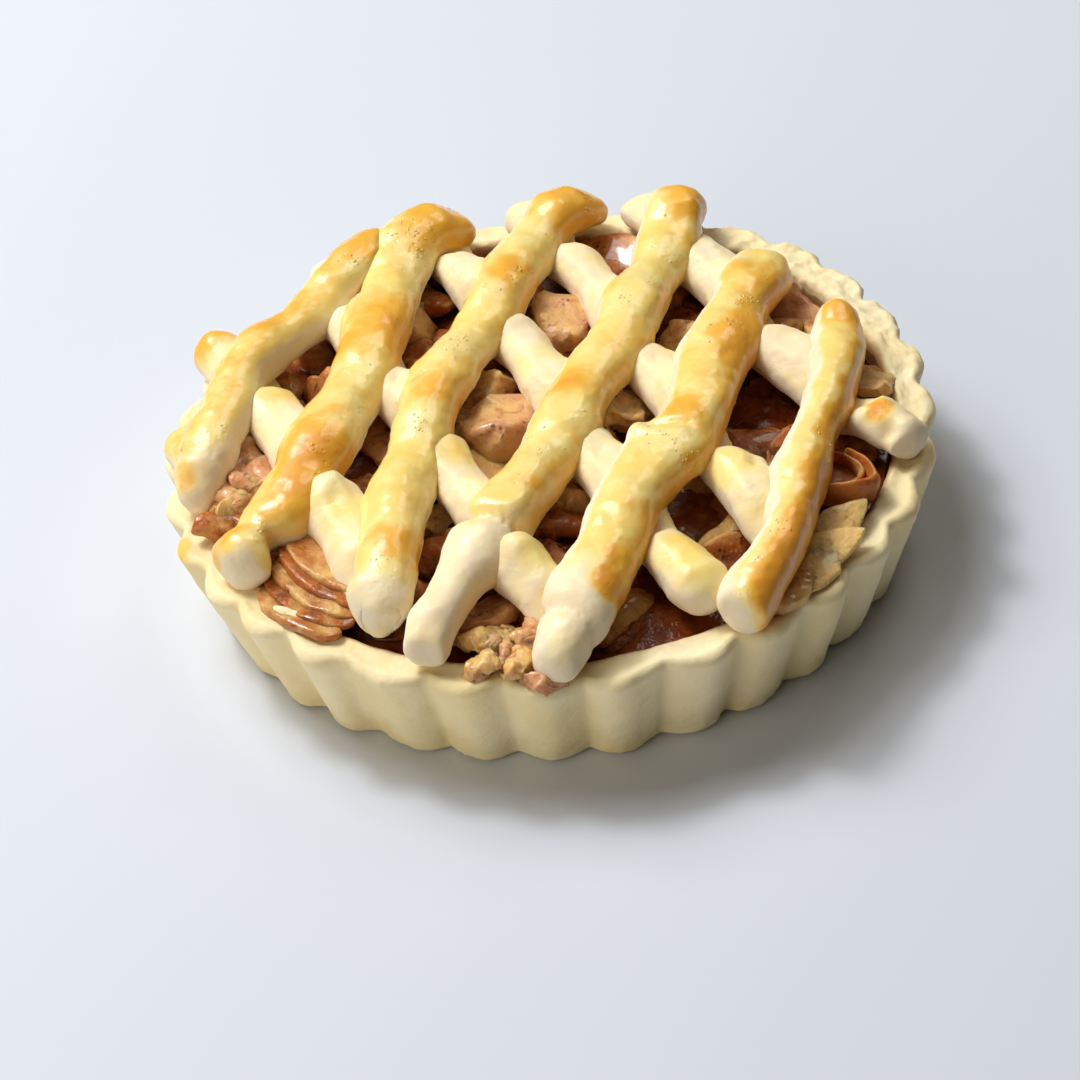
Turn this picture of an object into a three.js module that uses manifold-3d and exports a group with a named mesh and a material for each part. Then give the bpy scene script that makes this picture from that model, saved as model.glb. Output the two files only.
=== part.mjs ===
// A small apple pie: a fluted shortcrust shell, a spiced apple filling and a lattice of dough strips.
// Millimetres, +Z up. The origin is the middle of the underside, and the pie's front is towards -Y.

import * as THREE from 'three';
import { mergeVertices } from 'three/addons/utils/BufferGeometryUtils.js';
import Module from 'manifold-3d';

const wasm = await Module();
wasm.setup();

// Driving dimensions of the shell
const RIM_RADIUS = 55; // crest of a flute at the rim
const BASE_RADIUS = 49.7; // crest of a flute at the foot
const SHELL_HEIGHT = 17.5;
const RIM_WIDTH = 6.4; // from a crest to the inner edge
const RIM_ROUND = 1.7;
const FOOT_ROUND = 1.3;
const FLOOR_THICKNESS = 3.5;
const WALL_TAPER = 1.6; // how much narrower the inside is at the floor
const WALL_BULGE = 0.3; // how far the wall swells out half-way up
const INNER_UPRIGHT = 3; // height of the upright stretch inside the wall, just below the rim
const INNER_ROUND = { width: 1.2, drop: 0.9 }; // the rim's inner edge
const FLUTES = 32;
const FLUTE_DEPTH = 2.1;
const FLUTE_SOFTNESS = 0.16; // 0 leaves a knife-sharp groove between two flutes
const FIRST_CREST = THREE.MathUtils.degToRad(-139.9);
const SAMPLES_PER_FLUTE = 4;
const RIM_WAVES = [
  { height: 0.21, turns: 3, phase: 0.8 }, // how uneven the hand-pressed rim is
  { height: 0.14, turns: 8, phase: 2.1 },
];
const RIM_RISE = { degrees: 38, height: 2.3, spread: 0.73 }; // it stands higher at the back right
const SPILL_ANGLE = THREE.MathUtils.degToRad(-92); // the rim is pressed down where filling ran over it
const SPILL_DEPTH = 0.9;
const SPILL_SPREAD = 0.16; // radians

// Driving dimensions of the filling
const GAP = 0.3; // clear space between two pieces that rest on each other
const FILLING_EDGE_DROP = 1.2; // how far the filling's edge lies below the rim
const FILLING_RISE = 2.0; // how far its middle stands above its edge
const CORE_SIDES = 40;
const CORE_RINGS = 4;
const CORE_EDGE = { inset: 0.5, drop: 0.6 }; // the blunt edge of the bare filling
const APPLE_TRIES = 420;
const APPLE_SPACING = 8.2;
const APPLE_MARGIN = 1.5; // how far the pieces' middles stay from the shell
const APPLE_SIZES = [1, 0.8, 0.62]; // a piece that would cross a strip is shortened, then left out
const APPLE_SINK = 0.22; // share of a piece's height that is buried in the filling
const SLICE = { length: 16, width: 8, thickness: 2.6, back: 1.5, hollow: 0.35 };
const CHUNK = { length: 11, width: 9, thickness: 6.4, shoulders: [[0.45, 0.7], [-0.5, 0.35]] };
const SLICE_SHARE = 0.6; // share of the pieces that are slices, the rest being chunks
const APPLE_TIP = 0.5; // how far, in radians, a piece may lean either way from lying flat
const APPLE_SEED = 7;
const SPILLED_SLICES = [-131, -101, -80, -45, -33, -2]; // degrees round the rim where slices lie over it
const SPILL_REACH = 46.4; // distance of such a slice's inner edge from the pie's middle
const SPILL_TILT = 0.2; // radians
const SPILL_CREST = 1; // how far over the rim's inner edge such a slice clears the rim

// Driving dimensions of the lattice
const LOWER_THICKNESS = 6.8;
const UPPER_THICKNESS = 6.7;
const PRESS = 0.64; // share by which a lower strip is squeezed under an upper one
const PRESS_REACH = 5.4;
const RIM_PRESS = 0.3; // share by which a lower strip's end is flattened on the rim
const PRESS_SHIFT = 1.2; // a lower strip stays down longer on the front side of an upper one
const DRAPE_REACH = 8.5;
const UPPER_LIFT = 2.0; // how high an upper strip hangs above the filling between crossings
const LIFT_RUN = 9.6; // length from its end over which it rises that far
const REST_REACH = 2.5; // how far ahead and behind a strip feels what it lies on
const RIM_REACH = 1; // how far inside the rim's edge the rim already carries a strip
const END_TAPER = 3.2; // length over which a strip's end rounds off
const END_STYLES = {
  round: { width: 0.74, thickness: 0.7, bulge: 0.9 }, // rolled off by hand
  cut: { width: 0.98, thickness: 0.94, bulge: 0.2 }, // cut square with a knife
  knob: { width: 1.12, thickness: 0.92, bulge: 1.4 }, // squashed back on itself
};
const LOWER_STEP = 2.4;
const UPPER_STEP = 4.2;
const LOWER_SIDES = 8;
const UPPER_SIDES = 12;
const SWELLS = [
  { share: 0.07, pitch: 4.1 }, // hand-rolled strips swell and thin along their length
  { share: 0.042, pitch: 2.3 },
];
const THICKNESS_SWELL = 0.5; // share of that swelling that the thickness takes part in
const UNDERSIDE_FULLNESS = 0.72; // below 1 a strip's underside is flatter than its top
const END_MIDDLE = 0.48; // height of an end's middle as a share of the thickness

const LEG_BLEND = 8; // length over which a strip widens past its narrow leg

// Each strip's width, the finish of its two ends and its course over the pie from the first to the second.
// A leg is a narrower first stretch.
const LOWER_STRIPS = [
  {
    name: 'lower_strip_0',
    width: 7.0,
    ends: ['round', 'round'],
    course: [[-51.5, 6.5], [-49.5, 0.5], [-47.5, -6]],
  },
  {
    name: 'lower_strip_1',
    width: 8.4,
    ends: ['round', 'round'],
    course: [[-47, 27], [-38.5, 7], [-30, -18], [-24.5, -36]],
  },
  {
    name: 'lower_strip_2',
    width: 7.6,
    ends: ['round', 'round'],
    course: [[-29.5, 44.5], [-27.4, 30], [-20.2, 7.5], [-11.4, -19], [-1.6, -44]],
  },
  {
    name: 'lower_strip_3',
    width: 7.6,
    ends: ['round', 'round'],
    course: [[-14.5, 51], [-10.5, 40], [-1.5, 14], [6.5, -14], [18, -44]],
  },
  {
    name: 'lower_strip_4',
    width: 7.3,
    ends: ['round', 'round'],
    course: [[0, 53], [8, 34], [16.3, 4.5], [25, -21.3], [28.6, -32.5]],
  },
  {
    name: 'lower_strip_5',
    width: 7.8,
    ends: ['round', 'cut'],
    course: [[17.5, 50.5], [25.5, 33], [35.5, 4.5], [49, -16.5]],
  },
];
const UPPER_STRIPS = [
  {
    name: 'upper_strip_1',
    width: 7.4,
    ends: ['round', 'round'],
    course: [[-49.6, -9.8], [-46.4, 0.4], [-41.5, 16], [-35, 24.5], [-25, 39], [-20.5, 47]],
  },
  {
    name: 'upper_strip_2',
    width: 9.0,
    ends: ['knob', 'round'],
    course: [[-43, -26], [-36, -15.5], [-26.5, 7], [-21, 27], [-16.5, 44], [-9, 50]],
  },
  {
    name: 'upper_strip_3',
    width: 8.2,
    ends: ['cut', 'round'],
    course: [[-24.8, -42], [-20.5, -17], [-14.5, 4], [-5.5, 23], [4, 43.5], [11.5, 50]],
  },
  {
    name: 'upper_strip_4',
    width: 8.4,
    leg: { width: 6.6, length: 12 },
    ends: ['cut', 'round'],
    course: [[-19.4, -48.5], [-13.8, -36.4], [-3, -19], [5, -2.5], [14, 16], [21, 35], [25, 48]],
  },
  {
    name: 'upper_strip_5',
    width: 9.4,
    ends: ['round', 'round'],
    course: [[-2.6, -52.6], [4.4, -38], [11.4, -22.6], [20, -10.6], [25, 5.5], [31.6, 20], [35.4, 29]],
  },
  {
    name: 'upper_strip_6',
    width: 6.8,
    ends: ['cut', 'round'],
    course: [[21.8, -47.9], [28.9, -36], [35.5, -16], [41.8, 1], [43.6, 15.4]],
  },
];

// Colours of the baked pieces
const CRUST_COLOUR = 0xf0e2bd;
const LOWER_COLOUR = 0xf1e4b8;
const UPPER_COLOUR = 0xe9bd5c;
const FILLING_COLOUR = 0x9a5c38;

const RISE_ANGLE = THREE.MathUtils.degToRad(RIM_RISE.degrees);
const INNER_RADIUS = RIM_RADIUS - RIM_WIDTH;
const CORE_RADIUS = INNER_RADIUS - GAP;
const FILLING_EDGE = SHELL_HEIGHT - FILLING_EDGE_DROP;

/** Repeatable random numbers from 0 to 1. */
function seededRandom(seed) {
  let state = seed;
  return () => {
    state = (state * 16807) % 2147483647;
    return state / 2147483647;
  };
}

/** A bell-shaped weight, 1 in the middle and near 0 past twice the reach. */
function bell(distance, reach) {
  return Math.exp(-((distance / reach) ** 2));
}

/** A weight that stays near 1 within the reach and falls off steeply past it. */
function plateau(distance, reach) {
  return Math.exp(-((distance / reach) ** 4));
}

/** Closes a stack of equal rings with a point at each end. */
function skin(startPole, rings, endPole) {
  const around = rings[0].length;
  const points = [startPole, ...rings.flat(), endPole];
  const end = points.length - 1;
  const top = rings.length - 1;
  const at = (ring, step) => 1 + ring * around + (step % around);
  const index = [];
  for (let step = 0; step < around; step += 1) {
    index.push(0, at(0, step + 1), at(0, step));
    for (let ring = 0; ring < top; ring += 1) {
      index.push(at(ring, step), at(ring, step + 1), at(ring + 1, step + 1));
      index.push(at(ring, step), at(ring + 1, step + 1), at(ring + 1, step));
    }
    index.push(end, at(top, step), at(top, step + 1));
  }
  const geometry = new THREE.BufferGeometry().setFromPoints(points);
  geometry.setIndex(index);
  return geometry;
}

/** A closed geometry as a solid that can be joined and cut. */
function toSolid(geometry) {
  const bare = geometry.clone();
  bare.deleteAttribute('normal');
  bare.deleteAttribute('uv');
  const merged = mergeVertices(bare, 1e-4);
  return new wasm.Manifold(
    new wasm.Mesh({
      numProp: 3,
      vertProperties: new Float32Array(merged.attributes.position.array),
      triVerts: new Uint32Array(merged.index.array),
    }),
  );
}

/** The largest body of a solid, as a geometry. */
function toGeometry(solid) {
  const bodies = solid.decompose().sort((a, b) => b.volume() - a.volume());
  const mesh = bodies[0].getMesh();
  const geometry = new THREE.BufferGeometry();
  geometry.setAttribute('position', new THREE.BufferAttribute(mesh.vertProperties, 3));
  geometry.setIndex(new THREE.BufferAttribute(mesh.triVerts, 1));
  geometry.computeVertexNormals();
  return geometry;
}

/** How far the wall steps in from the flutes' crests at an angle: 0 on a crest. */
function fluteInset(angle) {
  const wave = Math.abs(Math.cos(((angle - FIRST_CREST) * FLUTES) / 2));
  const soft = Math.hypot(wave, FLUTE_SOFTNESS) / Math.hypot(1, FLUTE_SOFTNESS);
  return FLUTE_DEPTH * (1 - soft);
}

/** The turn from one angle to another, at most half a circle either way. */
function turnBetween(angle, other) {
  return Math.atan2(Math.sin(angle - other), Math.cos(angle - other));
}

/** Height of the rim at an angle: uneven, higher at the back right and pressed down at the spill. */
function rimHeight(angle) {
  let height = SHELL_HEIGHT;
  for (const wave of RIM_WAVES) height += wave.height * Math.sin(wave.turns * angle + wave.phase);
  height += RIM_RISE.height * bell(turnBetween(angle, RISE_ANGLE), RIM_RISE.spread);
  return height - SPILL_DEPTH * bell(turnBetween(angle, SPILL_ANGLE), SPILL_SPREAD);
}

/** The shell's rings from the foot, up the fluted wall, over the rim and down the inside. */
function shellProfile() {
  const slope = (RIM_RADIUS - BASE_RADIUS) / SHELL_HEIGHT;
  const wall = (rise) => BASE_RADIUS + slope * rise;
  const lip = SHELL_HEIGHT - RIM_ROUND;
  return [
    { radius: BASE_RADIUS - FOOT_ROUND, rise: 0, flute: 0.85, top: 0 },
    { radius: wall(FOOT_ROUND), rise: FOOT_ROUND, flute: 1, top: 0 },
    { radius: wall(SHELL_HEIGHT / 2) + WALL_BULGE, rise: SHELL_HEIGHT / 2, flute: 1, top: 0.3 },
    { radius: RIM_RADIUS, rise: lip, flute: 1, top: 1 },
    { radius: RIM_RADIUS - 0.3 * RIM_ROUND, rise: lip + 0.7 * RIM_ROUND, flute: 0.9, top: 1 },
    { radius: RIM_RADIUS - RIM_ROUND, rise: SHELL_HEIGHT, flute: 0.7, top: 1 },
    { radius: INNER_RADIUS + INNER_ROUND.width, rise: SHELL_HEIGHT - 0.1, flute: 0.1, top: 1 },
    { radius: INNER_RADIUS, rise: SHELL_HEIGHT - INNER_ROUND.drop, flute: 0, top: 1 },
    { radius: INNER_RADIUS, rise: SHELL_HEIGHT - INNER_UPRIGHT, flute: 0, top: 0 },
    { radius: INNER_RADIUS - WALL_TAPER, rise: FLOOR_THICKNESS, flute: 0, top: 0 },
  ];
}

/** The fluted shell, with a flat underside and an open inside for the filling. */
function shellGeometry() {
  const around = FLUTES * SAMPLES_PER_FLUTE;
  const rings = shellProfile().map(({ radius, rise, flute, top }) =>
    Array.from({ length: around }, (_, step) => {
      const angle = FIRST_CREST + (2 * Math.PI * step) / around;
      const reach = radius - flute * fluteInset(angle);
      const height = rise + top * (rimHeight(angle) - SHELL_HEIGHT);
      return new THREE.Vector3(reach * Math.cos(angle), reach * Math.sin(angle), height);
    }),
  );
  return skin(new THREE.Vector3(0, 0, 0), rings, new THREE.Vector3(0, 0, FLOOR_THICKNESS));
}

/** Height of the bare filling at a distance from the middle. */
function fillingHeight(distance) {
  const share = Math.min(distance / CORE_RADIUS, 1);
  return FILLING_EDGE + FILLING_RISE * (1 - share * share);
}

/** The bare filling: a low dome that fills the shell down to its floor. */
function coreGeometry() {
  const floor = FLOOR_THICKNESS + GAP;
  const ring = (radius, height) =>
    Array.from({ length: CORE_SIDES }, (_, step) => {
      const angle = (2 * Math.PI * step) / CORE_SIDES;
      return new THREE.Vector3(radius * Math.cos(angle), radius * Math.sin(angle), height);
    });
  const rings = [ring(CORE_RADIUS - WALL_TAPER, floor), ring(CORE_RADIUS, FILLING_EDGE - CORE_EDGE.drop)];
  for (let step = CORE_RINGS; step > 0; step -= 1) {
    const radius = ((CORE_RADIUS - CORE_EDGE.inset) * step) / CORE_RINGS;
    rings.push(ring(radius, fillingHeight(radius)));
  }
  return skin(new THREE.Vector3(0, 0, floor), rings, new THREE.Vector3(0, 0, fillingHeight(0)));
}

/** Height of what a strip lies on at a place: the filling, or the rim round it. */
function supportHeight(x, y) {
  const distance = Math.hypot(x, y);
  if (distance < INNER_RADIUS - RIM_REACH) return fillingHeight(distance);
  return Math.max(fillingHeight(distance), rimHeight(Math.atan2(y, x)));
}

/** The stations along a strip: place, direction, width, thickness, underside and the bulge of its end. */
function stationsOf(strip, thickness, spacing) {
  const curve = new THREE.CatmullRomCurve3(
    strip.course.map(([x, y]) => new THREE.Vector3(x, y, 0)),
    false,
    'centripetal',
  );
  const length = curve.getLength();
  const count = Math.max(6, Math.round(length / spacing));
  const phase = strip.course[0][0] + 0.7 * strip.course[0][1];
  return Array.from({ length: count + 1 }, (_, step) => {
    const share = step / count;
    const place = curve.getPointAt(share);
    const along = curve.getTangentAt(share);
    const side = new THREE.Vector3(-along.y, along.x, 0);
    const distance = share * length;
    const fromEnd = Math.min(distance, length - distance);
    const style = END_STYLES[strip.ends[share < 0.5 ? 0 : 1]];
    const end = Math.max(0, 1 - fromEnd / END_TAPER) ** 2;
    let swell = 1;
    SWELLS.forEach(({ share: part, pitch }, order) => {
      swell += part * Math.sin(distance / pitch + (order + 1) * phase);
    });
    const leg = strip.leg ?? { width: strip.width, length: 0 };
    const past = THREE.MathUtils.smoothstep(distance, leg.length, leg.length + LEG_BLEND);
    const full = THREE.MathUtils.lerp(leg.width, strip.width, past);
    const width = full * swell * (1 - end * (1 - style.width));
    const height = thickness * (1 + THICKNESS_SWELL * (swell - 1)) * (1 - end * (1 - style.thickness));
    const bottom = restHeight(place, along, side, width);
    return { place, along, side, distance, fromEnd, width, height, bottom, bulge: style.bulge };
  });
}

/** The underside of a strip that lies on the filling and the rim, clear of both. */
function restHeight(place, along, side, width) {
  let highest = 0;
  for (const ahead of [-REST_REACH, 0, REST_REACH]) {
    for (const across of [-0.5, 0, 0.5]) {
      const spot = place.clone().addScaledVector(along, ahead).addScaledVector(side, across * width);
      highest = Math.max(highest, supportHeight(spot.x, spot.y));
    }
  }
  return highest + GAP;
}

/** Where a strip passes the other layer's strips: the nearest stations of each pair. */
function crossingsOf(stations, others) {
  const crossings = [];
  for (const other of others) {
    let nearest = { gap: Infinity };
    for (const mine of stations) {
      for (const theirs of other) {
        const gap = mine.place.distanceTo(theirs.place);
        if (gap < nearest.gap) nearest = { gap, mine, theirs };
      }
    }
    if (nearest.gap < UPPER_STEP) crossings.push(nearest);
  }
  return crossings;
}

/** Squeezes the lower strips where the upper ones press on them, and their ends onto the rim. */
function pressLower(lower, upper) {
  for (const stations of lower) {
    const crossings = crossingsOf(stations, upper);
    for (const station of stations) {
      const pressed = crossings.map(({ mine }) =>
        plateau(station.distance - mine.distance - PRESS_SHIFT, PRESS_REACH),
      );
      const onRim = Math.hypot(station.place.x, station.place.y) > INNER_RADIUS - RIM_REACH;
      station.height *= 1 - Math.max(onRim ? RIM_PRESS : 0, PRESS * Math.max(0, ...pressed));
    }
  }
}

/** Drapes the upper strips over the lower ones. */
function drapeUpper(lower, upper) {
  for (const stations of upper) {
    const crests = crossingsOf(stations, lower).map(({ mine, theirs }) => ({
      distance: mine.distance,
      peak: theirs.bottom + theirs.height + GAP - mine.bottom - UPPER_LIFT,
    }));
    for (const station of stations) {
      let lift = UPPER_LIFT * Math.min(1, station.fromEnd / LIFT_RUN);
      for (const { distance, peak } of crests) {
        lift += peak * bell(station.distance - distance, DRAPE_REACH);
      }
      station.bottom += lift;
    }
  }
}

/** Sweeps a strip's rounded section along its stations, grown all round by a margin. */
function stripGeometry(stations, sides, margin = 0) {
  const rings = stations.map(({ place, along, side, width, height, bottom, fromEnd }, number) => {
    const push = fromEnd > 0 ? 0 : margin * (number === 0 ? -1 : 1);
    return Array.from({ length: sides }, (_, step) => {
      const angle = (2 * Math.PI * (step + 0.5)) / sides;
      const across = Math.cos(angle) * (width / 2 + margin);
      const flat = Math.sin(angle) < 0 ? UNDERSIDE_FULLNESS : 1;
      const up = Math.sign(Math.sin(angle)) * Math.abs(Math.sin(angle)) ** flat * (height / 2 + margin);
      const point = place.clone().addScaledVector(side, across).addScaledVector(along, push);
      return point.setZ(bottom + height / 2 + up);
    });
  });
  const pole = (station, outward) =>
    station.place
      .clone()
      .addScaledVector(station.along, outward * (station.bulge + margin))
      .setZ(station.bottom + station.height * END_MIDDLE);
  return skin(pole(stations[0], -1), rings, pole(stations.at(-1), 1));
}

/** A thin half-moon slice of apple, lying flat with its middle at the origin. */
function sliceGeometry({ length, width, thickness, back, hollow }) {
  const outline = new THREE.Shape();
  outline.moveTo(-length / 2, 0);
  outline.quadraticCurveTo(0, width * back, length / 2, 0);
  outline.quadraticCurveTo(0, width * hollow, -length / 2, 0);
  const sweep = { depth: thickness, bevelEnabled: false, curveSegments: 5 };
  const geometry = new THREE.ExtrudeGeometry(outline, sweep);
  return geometry.translate(0, -width / 2, -thickness / 2);
}

/** A blunt chunk of apple: a wedge with a rounded back. */
function chunkGeometry({ length, width, thickness, shoulders }) {
  const [right, left] = shoulders;
  const outline = new THREE.Shape();
  outline.moveTo(-width / 2, -thickness / 2);
  outline.lineTo(width / 2, -thickness / 2);
  outline.quadraticCurveTo(width * right[0], thickness * right[1], 0, thickness / 2);
  outline.quadraticCurveTo(width * left[0], thickness * left[1], -width / 2, -thickness / 2);
  const sweep = { depth: length, bevelEnabled: false, curveSegments: 3 };
  const geometry = new THREE.ExtrudeGeometry(outline, sweep);
  return geometry.translate(0, 0, -length / 2).rotateX(Math.PI / 2);
}

/** Joins a piece of apple on at the largest size that stays clear of the shell and strips, if any does. */
function fuseClear(solid, keepOut, shapeAt) {
  for (const share of APPLE_SIZES) {
    const apple = toSolid(shapeAt(share));
    if (keepOut.every((other) => apple.intersect(other).volume() === 0)) return solid.add(apple);
  }
  return null;
}

/** A slice that has slid over the rim, sloping up and out of the filling with its round side outwards. */
function spilledSlice(degrees, share) {
  const angle = THREE.MathUtils.degToRad(degrees);
  const edge = INNER_RADIUS + SPILL_CREST - SPILL_REACH;
  const height = rimHeight(angle) + GAP + (share * SLICE.thickness) / 2 - edge * Math.tan(SPILL_TILT);
  return sliceGeometry(SLICE)
    .scale(share, share, share)
    .rotateZ(-Math.PI / 2)
    .rotateY(-SPILL_TILT)
    .translate(SPILL_REACH, 0, height)
    .rotateZ(angle);
}

/** The filling: the bare core with pieces of apple fused on wherever the lattice leaves room. */
function fillingSolid(keepOut) {
  const random = seededRandom(APPLE_SEED);
  const golden = Math.PI * (3 - Math.sqrt(5));
  const placed = [];
  let solid = toSolid(coreGeometry());
  for (const degrees of SPILLED_SLICES) {
    solid = fuseClear(solid, keepOut, (share) => spilledSlice(degrees, share)) ?? solid;
  }
  for (let number = 0; number < APPLE_TRIES; number += 1) {
    const distance = (CORE_RADIUS - APPLE_MARGIN) * Math.sqrt((number + 0.5) / APPLE_TRIES);
    const angle = number * golden;
    const spot = new THREE.Vector3(distance * Math.cos(angle), distance * Math.sin(angle), 0);
    const tips = [random() - 0.5, random() - 0.5].map((draw) => APPLE_TIP * draw);
    const turn = new THREE.Euler(...tips, 2 * Math.PI * random(), 'ZYX');
    const isSlice = random() < SLICE_SHARE;
    if (placed.some((other) => other.distanceTo(spot) < APPLE_SPACING)) continue;
    const size = isSlice ? SLICE : CHUNK;
    const shape = isSlice ? sliceGeometry(SLICE) : chunkGeometry(CHUNK);
    const joined = fuseClear(solid, keepOut, (share) => {
      const rise = share * size.thickness * (0.5 - APPLE_SINK);
      const place = new THREE.Matrix4().compose(
        spot.clone().setZ(fillingHeight(distance) + rise),
        new THREE.Quaternion().setFromEuler(turn),
        new THREE.Vector3(share, share, share),
      );
      return shape.clone().applyMatrix4(place);
    });
    if (!joined) continue;
    solid = joined;
    placed.push(spot);
  }
  return solid;
}

/** A named mesh with its own matt or glossy material. */
function piece(name, geometry, color, roughness) {
  const mesh = new THREE.Mesh(geometry, new THREE.MeshStandardMaterial({ color, roughness, metalness: 0 }));
  mesh.name = name;
  return mesh;
}

/** The whole pie. */
function buildPie() {
  const pie = new THREE.Group();
  const lower = LOWER_STRIPS.map((strip) => stationsOf(strip, LOWER_THICKNESS, LOWER_STEP));
  const upper = UPPER_STRIPS.map((strip) => stationsOf(strip, UPPER_THICKNESS, UPPER_STEP));
  pressLower(lower, upper);
  drapeUpper(lower, upper);

  const shell = shellGeometry();
  pie.add(piece('crust_shell', shell, CRUST_COLOUR, 0.8));

  const lowerKeepOut = lower.map((stations) => toSolid(stripGeometry(stations, LOWER_SIDES, GAP)));
  const upperKeepOut = upper.map((stations) => toSolid(stripGeometry(stations, UPPER_SIDES, GAP)));
  const filling = fillingSolid([toSolid(shell), ...lowerKeepOut, ...upperKeepOut]);
  pie.add(piece('apple_filling', toGeometry(filling), FILLING_COLOUR, 0.45));

  lower.forEach((stations, number) => {
    const geometry = stripGeometry(stations, LOWER_SIDES);
    pie.add(piece(LOWER_STRIPS[number].name, geometry, LOWER_COLOUR, 0.6));
  });

  // Each upper strip beds onto the lower ones and butts against the next upper one
  upper.forEach((stations, number) => {
    let solid = toSolid(stripGeometry(stations, UPPER_SIDES));
    const neighbours = [...lowerKeepOut, ...upperKeepOut.slice(number + 1)];
    for (const keepOut of neighbours) solid = solid.subtract(keepOut);
    pie.add(piece(UPPER_STRIPS[number].name, toGeometry(solid), UPPER_COLOUR, 0.35));
  });
  return pie;
}

export default buildPie();
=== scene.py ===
"""Looks of a small apple pie: a fluted shell, a lattice of hand-rolled dough strips and an apple filling.

Size fields are in millimetres unless MM stands beside them, which turns millimetres into Blender's metres.
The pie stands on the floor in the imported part's own frame: +Z up, with its front towards -Y.
"""

from __future__ import annotations

import logging
import math
import random
from collections.abc import Iterable, Sequence
from dataclasses import dataclass, field
from enum import Enum
from typing import Any, Union

import bmesh
import bpy
import numpy as np
from mathutils import Euler, Matrix, Vector, noise
from mathutils.bvhtree import BVHTree

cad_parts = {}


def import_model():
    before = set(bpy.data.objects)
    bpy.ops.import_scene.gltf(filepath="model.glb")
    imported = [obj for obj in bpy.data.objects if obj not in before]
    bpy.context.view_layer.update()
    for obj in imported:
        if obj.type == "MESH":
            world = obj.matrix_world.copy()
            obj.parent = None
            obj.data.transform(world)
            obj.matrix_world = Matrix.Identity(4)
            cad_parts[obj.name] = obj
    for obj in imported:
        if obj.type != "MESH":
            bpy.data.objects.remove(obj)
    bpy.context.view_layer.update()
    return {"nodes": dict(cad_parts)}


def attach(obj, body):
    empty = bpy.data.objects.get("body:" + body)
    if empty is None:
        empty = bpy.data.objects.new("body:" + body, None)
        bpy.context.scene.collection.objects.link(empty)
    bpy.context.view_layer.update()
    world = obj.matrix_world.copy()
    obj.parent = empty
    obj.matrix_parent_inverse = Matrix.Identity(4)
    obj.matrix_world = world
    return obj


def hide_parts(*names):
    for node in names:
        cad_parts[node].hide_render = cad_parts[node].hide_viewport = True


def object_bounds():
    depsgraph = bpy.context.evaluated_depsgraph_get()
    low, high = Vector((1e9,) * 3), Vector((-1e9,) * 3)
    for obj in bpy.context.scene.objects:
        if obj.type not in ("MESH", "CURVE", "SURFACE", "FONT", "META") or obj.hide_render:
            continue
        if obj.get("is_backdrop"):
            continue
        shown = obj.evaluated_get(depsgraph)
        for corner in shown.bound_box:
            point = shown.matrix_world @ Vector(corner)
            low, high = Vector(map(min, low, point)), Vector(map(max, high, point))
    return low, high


LOG = logging.getLogger("apple_pie")
MM = 0.001
BODY = "root"
FULL_TURN = 2 * math.pi

Colour = tuple[float, float, float, float]
Place = tuple[float, float, float]
Band = tuple[float, float]
Faces = list[tuple[int, ...]]
Socket = bpy.types.NodeSocket
Piece = bpy.types.Object
Material = bpy.types.Material
Value = Union[Socket, float, Sequence[float]]


class Slot(Enum):
    """Names of the pie's material slots."""

    CRUST = "crust"
    FILLING = "filling"
    PALE_DOUGH = "pale_dough"
    GLAZED_DOUGH = "glazed_dough"


class Trait(Enum):
    """Values that a piece's mesh carries for its material, from 0 to 1."""

    WASH = "wash"
    NEAR = "near"
    # Browning, plus painted shade: on the strips' flank that faces away from the light and on the apple's
    # lower points.
    BROWNING_AND_SHADE = "toast"
    TINT = "tint"


class Cut(Enum):
    """Kinds of loose pieces: how the apple was cut, or a flake of pastry."""

    SLICE = "apple_slices"
    CHUNK = "apple_chunks"
    FLAKE = "pastry_flakes"


def srgb(red: int, green: int, blue: int) -> Colour:
    """Turns a colour as a screen shows it into linear light.

    Args:
        red: Red level, 0 to 255.
        green: Green level, 0 to 255.
        blue: Blue level, 0 to 255.

    Returns:
        The colour with full opacity.
    """

    def linear(level: int) -> float:
        """Turns one level into linear light."""
        share = level / 255
        return share / 12.92 if share <= 0.04045 else ((share + 0.055) / 1.055) ** 2.4

    return linear(red), linear(green), linear(blue), 1.0


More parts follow.
